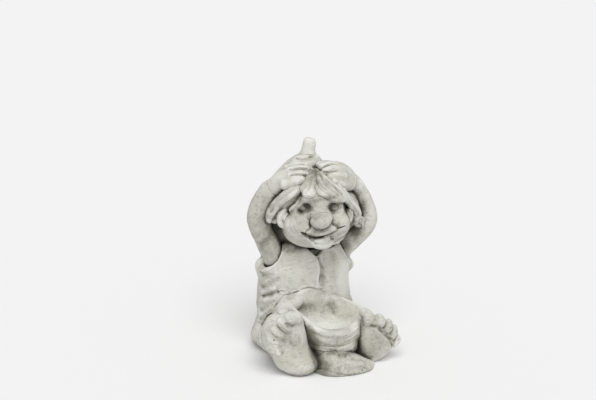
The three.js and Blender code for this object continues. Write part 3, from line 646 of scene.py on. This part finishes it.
# Dish: the smock is held out between the knees, and its front hangs down as cloth.
dish = from_node("smock_dish")
dish.limb(6, (-33, -78, 52, 14), (-18, -83.5, 46.5, 14), (8, -85.5, 43.5, 14.5), (24, -81.5, 44, 13.6),
          (34, -76, 46, 12), flat=((0.1, 1, 0.22), 1.9))
dish.limb(7, (-38, -81, 72, 3), (-28, -86, 64, 3.4), (-8, -90, 57, 3.6), (10, -89, 56, 3.6),
          (26, -82, 56.6, 3.6), (40, -73, 60.6, 3.4))
dish.limb(7, (-38, -34, 89, 10), (-53, -45, 86.5, 10.5), (-66, -59, 85.5, 10.5), (-71, -74, 85, 9.5))
dish.cut(ball((-50, -40, 106), (18, 14, 7.5)), 5)
dish.round(1.3)
dish.crease(2.5, 2, (-74, -68, 82, 1.5), (-72, -76, 81, 2.2), (-66, -78, 80, 1.6))
for fold in (
    [(-34, -92, 59, 0.8), (-24, -97, 54, 1.2), (-12, -98, 51.5, 0.8)],
    [(8, -98, 48, 0.8), (15, -97, 47.6, 1.4), (22, -93, 49.5, 1.4), (34, -86, 54, 1)],
    [(14, -97, 39, 0.8), (22, -94, 42, 1.4), (31, -89, 47, 1)],
    [(16, -96, 33, 0.8), (24, -92, 36, 1.4), (31, -88, 41, 1)],
):
    dish.crease(0.5, 3, *fold)
dish.cut(ball((-8, -99.5, 48), (16, 3, 5), turned(y=8)), 5)
for pit in ((-14, -96, 53.5), (-25, -93, 42), (4, -96, 41.4), (12, -95, 52), (-19, -95, 37)):
    dish.cut(ball(pit, (1.1, 2.2, 0.7)), 0.5)
pare(4, ["smock_dish", "left_leg"], (52, -12, 92, 12), (57, -34, 86.5, 12), (62, -52, 83.5, 10),
     (70, -62, 76, 9))
fold = blank("smock_fold")
fold.limb(0, (-36, -78, 42, 6), (-20, -83.5, 36, 6.4), (-4, -86, 33, 6.6), (12, -86, 32.5, 6.6),
          (26, -82, 37, 6.4), (36, -77, 44, 5))
fold.add(ball((25, -80, 30), (11, 10, 10.5)), 5)
fold.ridge(0.8, 3, (6, -94, 34, 1.4), (16, -93, 35, 2.4), (25, -90, 38, 2.6), (33, -86, 43, 1.6))
fold.ridge(0.7, 3, (12, -93, 27, 1.2), (21, -92, 29, 2), (31, -87, 34, 1.6))
fold.crease(0.9, 2, (-28, -88, 38, 1), (-16, -92, 34, 1.6), (-2, -94, 31, 1.2))

# The trouser cuff spreads under the smock from one heel to the other.
cuff = blank("left_trouser_cuff")
cuff.add(ball((9, -90, 3), (37, 25, 17.5)), 0)
cuff.limb(8, (-21, -84, 9, 9), (-8, -88, 14, 11), (7, -88.5, 15, 11.5), (20, -88, 10.5, 10.5),
          (33, -89, 4.5, 9.6), (46, -89.5, 0.5, 9), (55, -87, -1, 6.5))
cuff.limb(7, (-22, -84, 20, 7), (-14, -86, 24, 7.4), (3, -87, 22.5, 8), (18, -86, 17, 8), (32, -86, 9, 7))
cuff.add(ball((25, -91, 1), (30.5, 24, 10.5)), 5)
cuff.crease(1.6, 4, (2, -100, 27, 1.6), (14, -101, 23.5, 2.6), (27, -99, 17.5, 2.2), (38, -97, 12, 1.2))
cuff.crease(1.8, 1.5, (-27, -90, 7, 1), (-18.6, -104.5, 10.4, 1.4), (-10.4, -110.7, 7.5, 1.6),
            (-2, -114, 5, 1))
cuff.crease(1, 1.5, (-20, -98, 4, 1), (-6, -110, 3.5, 1.4), (6, -114, 2.5, 1))
cuff.crease(0.5, 5, (12, -114, 9, 1.6), (24, -112, 8, 2.6), (38, -106, 6, 2))
cuff.crease(0.7, 5, (-14, -104, 20, 1.4), (-12, -108, 15, 2), (-4, -112, 11, 1.4))
cuff.ridge(0.5, 5, (4, -106, 20, 2), (18, -108, 14, 3.4), (32, -105, 10, 2.6))
for pit in ((19.2, -114.5, 6.6), (35, -109, 5.9), (37.3, -106.5, 9.7), (30, -111.5, 4.5), (9, -115, 8)):
    cuff.cut(ball(pit, (1.2, 2.2, 1)), 0.4)

# Right foot: the big toe and two more stand out, the last two are worn into the side of the foot.
foot = blank("right_foot")
foot.limb(0, (-63, -82, 72, 17), (-61.5, -82, 56, 19.5), (-58.5, -81, 38, 20.6), (-51, -81, 20, 22),
          flat=((0, 1, 0), 1.38))
foot.add(ball((-47.5, -82.5, 15), (23, 18.5, 15.6)), 6)
foot.add(ball((-80, -69, 57), (20, 22.5, 31)), 6)
foot.add(ball((-68, -77, 34), (20.5, 15, 28)), 7)
foot.add(ball((-66, -76, 78), (20, 16, 14)), 6)
foot.add(ball((-66.5, -88.5, 85.5), (11, 11, 9.4), turned(y=-12)), 4)
foot.add(ball((-58.5, -88, 85), (8, 9.5, 8.6)), 4)
foot.add(ball((-70, -88, 80.5), (6, 8.5, 6)), 3)
for bone, soft in (
    ([(-80.4, -86, 82, 5.4), (-77.6, -91, 78, 6.2), (-73.6, -93.4, 73, 5.6)], 2.5),
    ([(-88.6, -84, 71, 5.2), (-86.2, -88.6, 67.6, 6), (-81.4, -91.6, 63.2, 5.4)], 2.5),
    ([(-92.5, -81, 58, 4.2), (-87.5, -86, 54, 4.6)], 5),
    ([(-91, -80, 46, 4.2), (-86, -85, 42, 4.6)], 5),
):
    foot.limb(soft, *bone)
foot.crease(1.5, 1.5, (-79, -99, 85, 1), (-73, -101, 80.5, 1.6), (-69, -99, 75.5, 1.4), (-64, -101, 75, 0.8))
foot.crease(1.4, 1.5, (-85, -96, 76, 0.8), (-80, -99, 71.5, 1.3), (-76.5, -101, 67.5, 1.1))
foot.crease(1.4, 2, (-93, -92, 63, 0.8), (-87, -96, 60, 1.3), (-80, -99, 58.5, 1.1))
foot.crease(0.8, 2, (-92, -92, 51, 0.8), (-87, -95, 48.5, 1), (-82, -97, 47.5, 0.8))
foot.crease(0.9, 3, (-71, -101, 70, 1.2), (-75, -101, 63, 1.6), (-79, -98, 56, 1.4), (-79, -97, 46, 1.4),
            (-81, -92, 36, 1.2))
foot.crease(1.3, 5, (-70, -98, 54, 2), (-69, -96, 42, 3.4), (-65, -96, 30, 2.4))
foot.crease(0.6, 3, (-57, -100, 68, 1), (-55, -100, 60, 1.6), (-55, -99, 50, 1))
foot.crease(0.8, 1, (-84, -93, 80, 0.8), (-81, -97, 79.5, 1))
foot.crease(0.6, 1.5, (-63, -99, 90, 0.7), (-59, -99, 86.5, 1.1), (-59.5, -100, 81, 0.8))
for lump in ((-90, -84, 61.5), (-93, -79, 53), (-88, -86, 49), (-90, -82, 39), (-84, -88, 37)):
    foot.add(ball(lump, (3, 3, 2.4)), 3)
for pit in (
    (-92, -88, 66), (-88, -92, 64), (-93, -88, 47.5), (-91, -90, 51.5), (-90, -89, 42), (-85.5, -93, 41),
    (-87, -92, 45), (-91, -88, 57.5), (-70, -99, 88), (-64, -100.5, 83),
):
    foot.cut(ball(pit, (1.2, 2.2, 1)), 0.6)

# Left foot
foot = blank("left_foot")
foot.limb(0, (56, -80, 56, 16), (58, -80, 42, 20), (60, -77, 30, 22), (60, -73, 18, 22),
          flat=((0, 1, 0), 1.6))
foot.add(ball((61.5, -82, 34.5), (23, 12.5, 23.5)), 3)
foot.add(ball((72, -76, 24), (20.5, 16, 22)), 6)
foot.add(ball((78, -69, 31), (21, 17, 21)), 6)
for bone, soft in (
    ([(47, -80, 75.5, 7.4), (49.5, -87.5, 71.5, 8.6), (48.5, -87, 65, 8)], 2),
    ([(69.5, -80, 64.5, 6.8), (69, -87, 61.6, 7.4), (66, -86.5, 57.5, 6.4)], 1.5),
    ([(84.5, -80, 56, 5.8), (81, -86.5, 51.7, 6.6), (77, -87, 46.5, 5.8)], 1.5),
    ([(94.5, -78, 46, 5), (91.6, -84, 41.6, 5.6), (87.5, -86, 36.5, 5)], 1.5),
    ([(98, -76, 33.5, 4.6), (98, -82.5, 28, 5.8), (94, -84, 21.4, 5.2)], 1.5),
):
    foot.limb(soft, *bone)
foot.crease(2.4, 2, (41, -91, 57.4, 0.8), (46, -92, 58.2, 1.2), (54, -93, 58.4, 1.6), (62, -93.7, 55.5, 1.9),
            (70, -92, 48.5, 2.1), (77.5, -90, 40.5, 2), (83.5, -87, 32, 1.9), (87, -84, 22, 1.5))
foot.crease(1.2, 1.5, (40, -94, 64, 0.8), (44, -97, 62, 1.2), (52, -97, 62.4, 1))
foot.crease(0.9, 0.8, (43, -87, 80.5, 0.7), (48.3, -90.5, 79.6, 0.9), (53.5, -91, 78, 0.7))
foot.crease(0.8, 1.5, (66, -95, 64.5, 0.8), (71, -95, 62, 1.2))
foot.crease(0.8, 1.2, (60, -97, 66, 0.7), (61.5, -96, 60, 1))
for dent in (
    (52, -97, 74), (45, -96, 69), (71, -95, 65), (83, -93, 52), (95, -88, 43), (99, -87, 30), (76, -93, 60),
):
    foot.cut(ball(dent, (2.6, 2, 1.8)), 2)
pare(3, ["left_foot", "left_leg"], (109.4, -85, 15.6, 12), (97.8, -85, 7.2, 12), (83.6, -85, -2.8, 12),
     (74, -85, -10.8, 12))


# One casting: the forms melt together where they meet.

low = np.min([f.start for f in forms.values()], 0)
high = np.max([f.start + f.field.shape for f in forms.values()], 0)
nearest = np.full(high - low, BAND, np.float32)
second = nearest.copy()
owner = np.full(high - low, -1, np.int8)
names = sorted(forms)
for index, name in enumerate(names):
    form = forms[name]
    at = block(form.start - low, form.start - low + form.field.shape)
    closer = form.field < nearest[at]
    second[at] = np.where(closer, nearest[at], np.minimum(second[at], form.field))
    owner[at] = np.where(closer, index, owner[at])
    nearest[at] = np.where(closer, form.field, nearest[at])
casting = melt(nearest, second, FILLET)
ground = ((np.arange(casting.shape[2]) + low[2]) * STEP).astype(np.float32)
casting = -melt(-casting, np.broadcast_to(ground, casting.shape), SOLE)


# Weathering and painted shade: dirt, with the shade that falls there, is painted where the stone is hollow,
# and what stands proud is worn light. Both are read from the casting, blurred over a short, a middling and a
# long reach, at every vertex.

even = tuple(slice(0, n // 2 * 2) for n in casting.shape)
solid = np.clip(0.5 - casting[even] / np.float32(2 * STEP), 0, 1)
solid = sum(solid[i::2, j::2, k::2] for i in (0, 1) for j in (0, 1) for k in (0, 1)) / np.float32(8)
REACHES = {"crevice": 1.8, "hollow": 4.5, "shelter": 11.0}
enclosure = {name: blurred(solid, reach / 2) for name, reach in REACHES.items()}


def read_at(field, points):
    """Values of a half resolution field at points, between its voxels."""
    p = (points / STEP - low - 0.5) / 2
    p = np.clip(p, 0, np.array(field.shape) - 1.001)
    i = np.floor(p).astype(int)
    return between(field, i, (p - i).astype(np.float32))


# Places painted darker, for dirt and for the shade that falls there, and below zero places painted paler,
# for rubbed stone and for where light falls: x, y and z of the middle of each place, its reach along them,
# and how strong it is
STAINS_AND_SHADE = (
    # A thin grey film over whole parts, which also paints shade on sides turned from the light
    (-78, 4, 205, 22, 24, 48, 0.45), (-70, 8, 150, 16, 18, 24, 0.05), (88, 8, 190, 24, 26, 60, 0.12),
    (0, -48, 226, 34, 18, 12, 0.14), (-3, -50, 196, 46, 24, 16, 0.18), (-14, -62, 211, 16, 14, 12, 0.38),
    (-34, -38, 200, 14, 14, 14, 0.24), (13, -110, 8, 46, 16, 14, 0.35), (-15, -104, 10, 18, 14, 12, 0.3),
    (66, -92, 40, 34, 14, 34, 0.06), (80, -91, 48, 26, 14, 24, 0.35), (-80, -94, 68, 14, 10, 16, 0.3),
    (-66, -96, 87, 13, 10, 10, 0.3), (-60, -92, 40, 40, 14, 30, 0.1), (50, -94, 72, 14, 12, 14, 0.3),
    # Painted shade beside and under the head, where little light reaches between head, sleeves and chest
    (-53, 2, 183, 9, 12, 12, 1.0), (-41, 7, 165, 9, 10, 8, 0.9), (-26, -3, 154.5, 18, 7, 5, 0.8),
    (5, -3, 149, 9, 8, 7, 1.0), (-34, 5, 142, 7, 7, 6, 0.4), (57, -12, 180, 13, 16, 15, 0.9),
    (57, 8, 148, 8, 9, 12, 0.9), (70, 3, 170, 11, 9, 11, 1.1), (76, -5, 207, 7, 8, 12, 0.95),
    (38, -34, 220, 5, 6, 8, 0.9), (49, -29, 204, 8, 8, 12, 0.4), (27, -38, 176, 8, 7, 5, 0.5),
    (-49, 10, 181, 9, 14, 10, 0.8),
    # Face: painted shade in the eye sockets, under the fringe and the nose, at the mouth and in the smile
    # lines
    (-22, -36, 225.2, 6, 8, 5, 1.1), (-30, -34, 218.6, 5.4, 8, 4.4, 1.1), (-25, -38, 222, 14, 12, 8, 0.75),
    (9, -44, 226.5, 7, 7, 4, 0.2), (17, -44, 222, 11, 10, 9.5, 0.85), (-42, -26, 214, 5, 6, 6, 0.6),
    (-32, -31, 237, 5, 7, 7, 0.9), (-14, -42, 234.5, 9, 8, 4, 0.65), (5, -47, 237, 12, 7, 4, 0.8),
    (-18, -50, 185, 15, 8, 3, 0.9), (-28, -44, 187, 6, 8, 3.4, 0.9), (-17, -46, 203, 3.5, 6, 7, 0.7),
    (14, -56, 199, 5, 6, 5, 0.8), (-13, -59, 198.5, 9, 7, 3.4, 0.7), (-16, -55, 191, 12, 7, 4, 0.45),
    (5, -60, 193, 12, 7, 4, 0.45), (4, -55, 181, 13, 8, 6, 0.35), (13, -51, 187, 8, 8, 6, 0.5),
    # Hair, hands and cap: painted shade between the hands, under the cap's roll and among the locks, and
    # painted light, below zero, on the cap's tail and front and on the tops of the hands
    (-2, -12, 270, 8, 9, 5, 0.9), (12, -16, 263, 8, 7, 5, 0.55), (-47, -14, 236, 22, 5, 5, 0.3),
    (0, 22, 278, 18, 9, 3, 0.55), (24, 18, 274, 5, 9, 6, 0.45), (-27, -9, 272, 8, 6, 4, 0.35),
    (-12, -28, 258, 13, 12, 9, 0.5), (-24, -24, 246, 8, 8, 8, 0.5), (5, -36, 254, 14, 11, 8, 0.4),
    (-4, -20, 265, 12, 10, 5, 0.55), (22, -47, 242, 13, 8, 10, 0.25), (-50, -20, 229, 16, 12, 16, 0.28),
    (14, 40, 292, 12, 12, 15, -0.7), (-12, 24, 283, 15, 12, 10, -0.5), (-46, 0, 260, 16, 14, 12, -0.45),
    (50, 0, 262, 12, 14, 10, -0.3),
    # Sleeves: painted shade on their inner sides and round the left wrist
    (-70, 8, 172, 9, 9, 14, 0.5), (-66, 8, 150, 8, 8, 8, 0.35), (65, -4, 225, 10, 8, 7, 0.9),
    # Waistcoat: painted shade in its dents, beside the edge of the right front and round the button, and
    # painted light, below zero, on the fronts
    (30, -10, 139, 9, 7, 11, 0.4), (27, -7, 110, 10, 7, 12, 0.2), (11, -15, 112, 4, 6, 22, 0.65),
    (-69, 17, 97, 8, 12, 3.6, 0.6), (-62, 8, 87, 9, 14, 3, 0.3), (-68, 18, 62, 7, 11, 4, 0.3),
    (-62, 4, 65, 6, 8, 3.4, 0.3), (-70, 14, 47, 6, 10, 5, 0.45), (-68, 14, 114, 5, 9, 3.6, 0.7),
    (-41, -20, 97, 3.4, 4, 3.4, 0.6), (-20, -12, 122, 17, 8, 15, -0.35), (46, -6, 104, 18, 12, 28, -0.85),
    (-46, 0, 108, 16, 12, 20, 0.08),
    # Smock: darker patches at the back of the dish, painted shade under its rim and fold and at the sides of
    # its hanging front, and paler, below zero, on its lip and in the dish
    (-27, -31, 78, 11, 9, 7, 0.75), (-9, -28, 76, 14, 9, 6, 0.55), (20, -24, 73, 9, 8, 6, 0.8),
    (24, -27, 64, 11, 9, 6, 0.4), (0, -33, 66, 34, 16, 11, 0.2), (-8, -93, 29, 15, 7, 4, 0.8),
    (-24, -88, 68, 12, 7, 6, -0.4), (0, -91, 60, 32, 8, 6, 0.35), (8, -56, 54, 34, 20, 12, -0.9),
    (34, -80, 60, 11, 9, 6, -0.6), (-62, -62, 96, 16, 20, 8, -0.4), (4, -96, 44, 36, 8, 14, 0.3),
    (-37, -87, 56, 5, 10, 13, 1.3), (-32, -87, 40, 6.5, 9, 13, 1.8), (33, -85, 31, 6, 9, 13, 1.5),
    # Legs, cuff and feet: painted shade in the hollows between them and under the seat, a painted contact
    # shadow along the ground, and a little paler on the right foot
    (-92, -20, 22, 16, 34, 14, 0.6), (-99, -38, 30, 6, 22, 24, 0.8), (-31, -91, 25, 8, 10, 12, 1.9),
    (-25, -94, 12, 9, 9, 9, 1.6), (20, -96, 25, 18, 7, 4, 0.8), (38, -80, 24, 8, 10, 16, 1.0),
    (-71, -99, 79, 7, 6, 3.4, 0.6), (-76, -97, 62, 7, 8, 12, 0.25), (-60, -97, 52, 12, 8, 14, 0.25),
    (60, -94, 36, 14, 6, 12, 0.25), (39, -85, 60, 4, 10, 14, 1.0), (20, -112, 2, 44, 12, 3.4, 0.5),
    (-60, -96, 3, 40, 16, 4, 0.5), (-56, -98, 30, 14, 8, 12, -0.15),
)


def stain_and_shade_at(points):
    """How much points are painted darker, for dirt and for shade, and below zero how much paler, by the list
    of places.
    """
    value = np.zeros(len(points), np.float32)
    for *place, strength in STAINS_AND_SHADE:
        middle, reach = np.array(place[:3]), np.array(place[3:])
        value += strength * np.exp(-(((points - middle) / reach) ** 2).sum(1))
    return value


def placed(name, data):
    """A new object in the scene."""
    thing = bpy.data.objects.new(name, data)
    bpy.context.scene.collection.objects.link(thing)
    return thing


def shell(name, index):
    """The piece of the casting that belongs to one form, as a closed mesh."""
    form = forms[name]
    at = block(form.start - low, form.start - low + form.field.shape)
    other = np.where(owner[at] == index, second[at], nearest[at])
    apart = (form.field - other) / 2 + np.float32(SEAM)
    field = -melt(-casting[at], -apart, SEAM_EDGE)
    field[[0, -1]] = BAND
    field[:, [0, -1]] = BAND
    field[:, :, [0, -1]] = BAND
    grid = openvdb.FloatGrid(BAND)
    grid.copyFromArray(np.ascontiguousarray(field), ijk=tuple(int(v) for v in form.start))
    grid.transform = openvdb.createLinearTransform(STEP)
    points, triangles, quads = grid.convertToPolygons(isovalue=0.0, adaptivity=0.0)
    mesh = bpy.data.meshes.new(name + "_stone")
    faces = [tuple(int(v) for v in row[::-1]) for rows in (quads, triangles) for row in rows]
    mesh.from_pydata((points * MM).tolist(), [], faces)
    mesh.polygons.foreach_set("use_smooth", [True] * len(faces))
    marks = {key: read_at(values, points) for key, values in enclosure.items()}
    marks["stain_and_shade"] = stain_and_shade_at(points)
    for key, values in marks.items():
        mesh.attributes.new(key, "FLOAT", "POINT").data.foreach_set("value", values.astype(np.float32))
    mesh.set_sharp_from_angle(angle=math.radians(CRISP))
    return placed(name + "_stone", mesh)


# Cast stone


class Nodes:
    """A short way to write the node tree of a material or the world."""

    def __init__(self, owner, shader):
        owner.use_nodes = True
        self.tree = owner.node_tree
        self.shader = self.tree.nodes[shader]

    def put(self, socket, value):
        if isinstance(value, bpy.types.NodeSocket):
            self.tree.links.new(value, socket)
        else:
            socket.default_value = value

    def fill(self, node, inputs):
        for key, value in inputs.items():
            self.put(node.inputs[key.replace("_", " ")], value)

    def node(self, kind, settings=None, **inputs):
        node = self.tree.nodes.new(kind)
        for key, value in (settings or {}).items():
            setattr(node, key, value)
        self.fill(node, inputs)
        return node

    def surface(self, **inputs):
        self.fill(self.shader, inputs)

    def mark(self, name):
        """A value that the mesh holds at its vertices."""
        return self.node("ShaderNodeAttribute", {"attribute_name": name}).outputs["Fac"]

    def noise(self, size, detail=3.0, rough=0.55, stretch=(1, 1, 1), seed=0.0, askew=(0, 0, 0)):
        """Noise whose lumps are about size mm across, of about 0..1."""
        place = self.node("ShaderNodeTexCoord").outputs["Object"]
        moved = (seed, seed * 0.7, -seed)
        mapped = self.node("ShaderNodeMapping", Vector=place, Location=moved, Rotation=askew, Scale=stretch)
        node = self.node("ShaderNodeTexNoise", Vector=mapped.outputs["Vector"], Scale=1 / (size * MM),
                         Detail=detail, Roughness=rough)
        return node.outputs["Fac"]

    def ramp(self, value, low, high, to_low=0.0, to_high=1.0):
        node = self.node("ShaderNodeMapRange", {"interpolation_type": "SMOOTHSTEP"}, Value=value,
                         From_Min=low, From_Max=high, To_Min=to_low, To_Max=to_high)
        return node.outputs["Result"]

    def math(self, operation, a, b):
        node = self.node("ShaderNodeMath", {"operation": operation})
        self.put(node.inputs[0], a)
        self.put(node.inputs[1], b)
        return node.outputs["Value"]

    def plus(self, a, b):
        return self.math("ADD", a, b)

    def times(self, a, b):
        return self.math("MULTIPLY", a, b)

    def mix(self, factor, a, b):
        node = self.node("ShaderNodeMix", {"data_type": "RGBA"})
        self.put(node.inputs["Factor"], factor)
        for socket, value in (("A", a), ("B", b)):
            target = [s for s in node.inputs if s.name == socket and s.type == "RGBA"][0]
            self.put(target, (*value, 1) if isinstance(value, tuple) else value)
        return [s for s in node.outputs if s.type == "RGBA"][0]


PALE = (0.64, 0.632, 0.58)
MID = (0.53, 0.52, 0.46)
WARM = (0.49, 0.475, 0.385)
GREY = (0.36, 0.353, 0.315)
# The pale tone is for rubbed stone and for painted light; the film, dirt and near black tones also paint
# shade.
RUBBED_AND_LIT = (0.74, 0.735, 0.69)
FILM_AND_SHADE = (0.36, 0.35, 0.3)
DIRT_AND_SHADE = (0.17, 0.163, 0.125)
DEEP_SHADE_AND_DIRT = (0.05, 0.046, 0.034)
PITS = 5.5  # between the places where a pit can be
RELIEF = 0.7  # height of the bump

stone = bpy.data.materials.new("cast_stone")
n = Nodes(stone, "Principled BSDF")
crevice, hollow, shelter, stain_and_shade = (n.mark(name) for name in ("crevice", "hollow", "shelter", "stain_and_shade"))
patches = n.noise(30, 3, 0.55)
tint = n.noise(48, 2, seed=3.1)
blotch = n.noise(9, 4, 0.6, seed=11.3)
speckle = n.noise(3.4, 4, 0.66, seed=5.3)
brushed = n.noise(5.0, 4, 0.62, (0.6, 0.6, 1.9), seed=7.7, askew=(0.35, 0.4, 0))
grain = n.noise(0.9, 3, 0.6, seed=1.9)
rough = n.plus(n.times(blotch, 0.5), n.times(speckle, 0.5))


def broken(value, amount):
    """A value broken up by the noise, so that no layer has a clean edge."""
    return n.plus(value, n.times(n.math("SUBTRACT", rough, 0.5), amount))


# Where the stone is painted paler, for rubbed stone and for light, its hollows are painted paler too.
paled = n.times(n.math("MINIMUM", stain_and_shade, 0.0), 0.14)
# How deep a hollow is, from which the near black painted shade is set
depth = n.plus(hollow, n.times(shelter, 0.6))
depth = n.plus(depth, n.times(stain_and_shade, 0.12))

# Layers over the stone's own two tones: what each follows, from where to where, how strong it gets
colour = n.mix(n.ramp(patches, 0.38, 0.62), MID, PALE)
for value, start, full, strength, layer in (
    (tint, 0.5, 0.68, 0.55, WARM),
    (brushed, 0.5, 0.7, 0.6, GREY),
    (rough, 0.53, 0.64, 0.45, GREY),
    (broken(crevice, 0.1), 0.49, 0.4, 0.6, RUBBED_AND_LIT),
    (broken(hollow, 0.1), 0.47, 0.34, 0.45, RUBBED_AND_LIT),
    # Film and painted shade from the list of places, and painted light where it is below zero
    (broken(stain_and_shade, 0.5), 0.0, 0.35, 0.5, FILM_AND_SHADE),
    (broken(stain_and_shade, -0.8), -0.05, -0.6, 0.8, RUBBED_AND_LIT),
    # Dirt in hollows, over a long, a middling and a short reach, which also paints the shade that falls
    # there
    (broken(n.plus(shelter, paled), 0.5), 0.53, 0.74, 0.8, DIRT_AND_SHADE),
    (broken(n.plus(hollow, paled), 0.4), 0.54, 0.7, 0.75, DIRT_AND_SHADE),
    (broken(crevice, 0.3), 0.57, 0.72, 0.6, DIRT_AND_SHADE),
    # Dirt and painted shade from the list of places
    (broken(stain_and_shade, 1.8), 0.25, 1.0, 0.85, DIRT_AND_SHADE),
    # Near black at the bottom of deep hollows: painted shade and dirt
    (depth, 0.94, 1.2, 0.95, DEEP_SHADE_AND_DIRT),
):
    colour = n.mix(n.ramp(value, start, full, 0, strength), colour, layer)

# Small pits where air bubbles were, only on some patches, darkened with dirt colour that also paints their
# shade, and a fine grain over everything
place = n.node("ShaderNodeTexCoord").outputs["Object"]
holes = n.node("ShaderNodeTexVoronoi", Vector=place, Scale=1 / (PITS * MM))
hole = n.times(n.ramp(holes.outputs["Distance"], 0.115, 0.05), n.ramp(speckle, 0.52, 0.62))
colour = n.mix(n.times(hole, 0.75), colour, DIRT_AND_SHADE)
fine = n.ramp(grain, 0.3, 0.7, 0.9, 1.08)
shade = n.node("ShaderNodeVectorMath", {"operation": "SCALE"}, Scale=fine)
n.put(shade.inputs[0], colour)
height = n.plus(n.times(speckle, 0.8), n.times(grain, 0.3))
height = n.plus(height, n.times(brushed, 0.7))
height = n.math("SUBTRACT", height, n.times(hole, 0.8))
bump = n.node("ShaderNodeBump", Height=height, Strength=0.6, Distance=RELIEF * MM)
n.surface(Base_Color=shade.outputs["Vector"], Roughness=n.ramp(speckle, 0.3, 0.7, 0.84, 0.96),
          Specular_IOR_Level=0.3, Normal=bump.outputs["Normal"])

for index, name in enumerate(names):
    piece = shell(name, index)
    piece.data.materials.append(stone)
    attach(piece, "root")
    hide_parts(name)

# Studio: white paper to the horizon, an even sky and one broad light from above and in front

CAMERA = {"at": (-589, -1427, 614), "yaw": -21.7066, "pitch": -14.1929, "lens": 68.07}
SUN = {"from": (-0.32, -1.1, 1.5), "spread": 50, "strength": 2.05}
SKY = {"lights": 0.5, "seen": 0.9}
PAPER = 0.88
HALL = 20  # metres from the middle of the floor to its edge
yaw, pitch = math.radians(CAMERA["yaw"]), math.radians(CAMERA["pitch"])
camera = placed("camera", bpy.data.cameras.new("camera"))
camera.location = Vector(CAMERA["at"]) * MM
ahead = Vector((-math.sin(yaw) * math.cos(pitch), math.cos(yaw) * math.cos(pitch), math.sin(pitch)))
camera.rotation_euler = ahead.to_track_quat("-Z", "Y").to_euler()
camera.data.lens = CAMERA["lens"]
camera.data.clip_start, camera.data.clip_end = 0.01, 50
bpy.context.scene.camera = camera
bpy.context.scene.view_settings.view_transform = "Standard"

floor = placed("floor", bpy.data.meshes.new("floor"))
corners = [(x * HALL, y * HALL, 0) for x, y in ((-1, -1), (1, -1), (1, 1), (-1, 1))]
floor.data.from_pydata(corners, [], [(0, 1, 2, 3)])
paper = bpy.data.materials.new("paper")
Nodes(paper, "Principled BSDF").surface(
    Base_Color=(PAPER, PAPER, PAPER, 1), Roughness=0.9, Specular_IOR_Level=0.0
)
floor.data.materials.append(paper)

world = bpy.data.worlds.new("studio")
bpy.context.scene.world = world
sky = Nodes(world, "Background")
seen = sky.node("ShaderNodeLightPath").outputs["Is Camera Ray"]
level = sky.node("ShaderNodeMapRange", Value=seen, To_Min=SKY["lights"], To_Max=SKY["seen"])
sky.surface(Color=(1, 1, 1, 1), Strength=level.outputs["Result"])

sun = placed("sun", bpy.data.lights.new("sun", "SUN"))
sun.data.angle = math.radians(SUN["spread"])
sun.data.energy = SUN["strength"]
sun.rotation_euler = (-Vector(SUN["from"])).to_track_quat("-Z", "Y").to_euler()
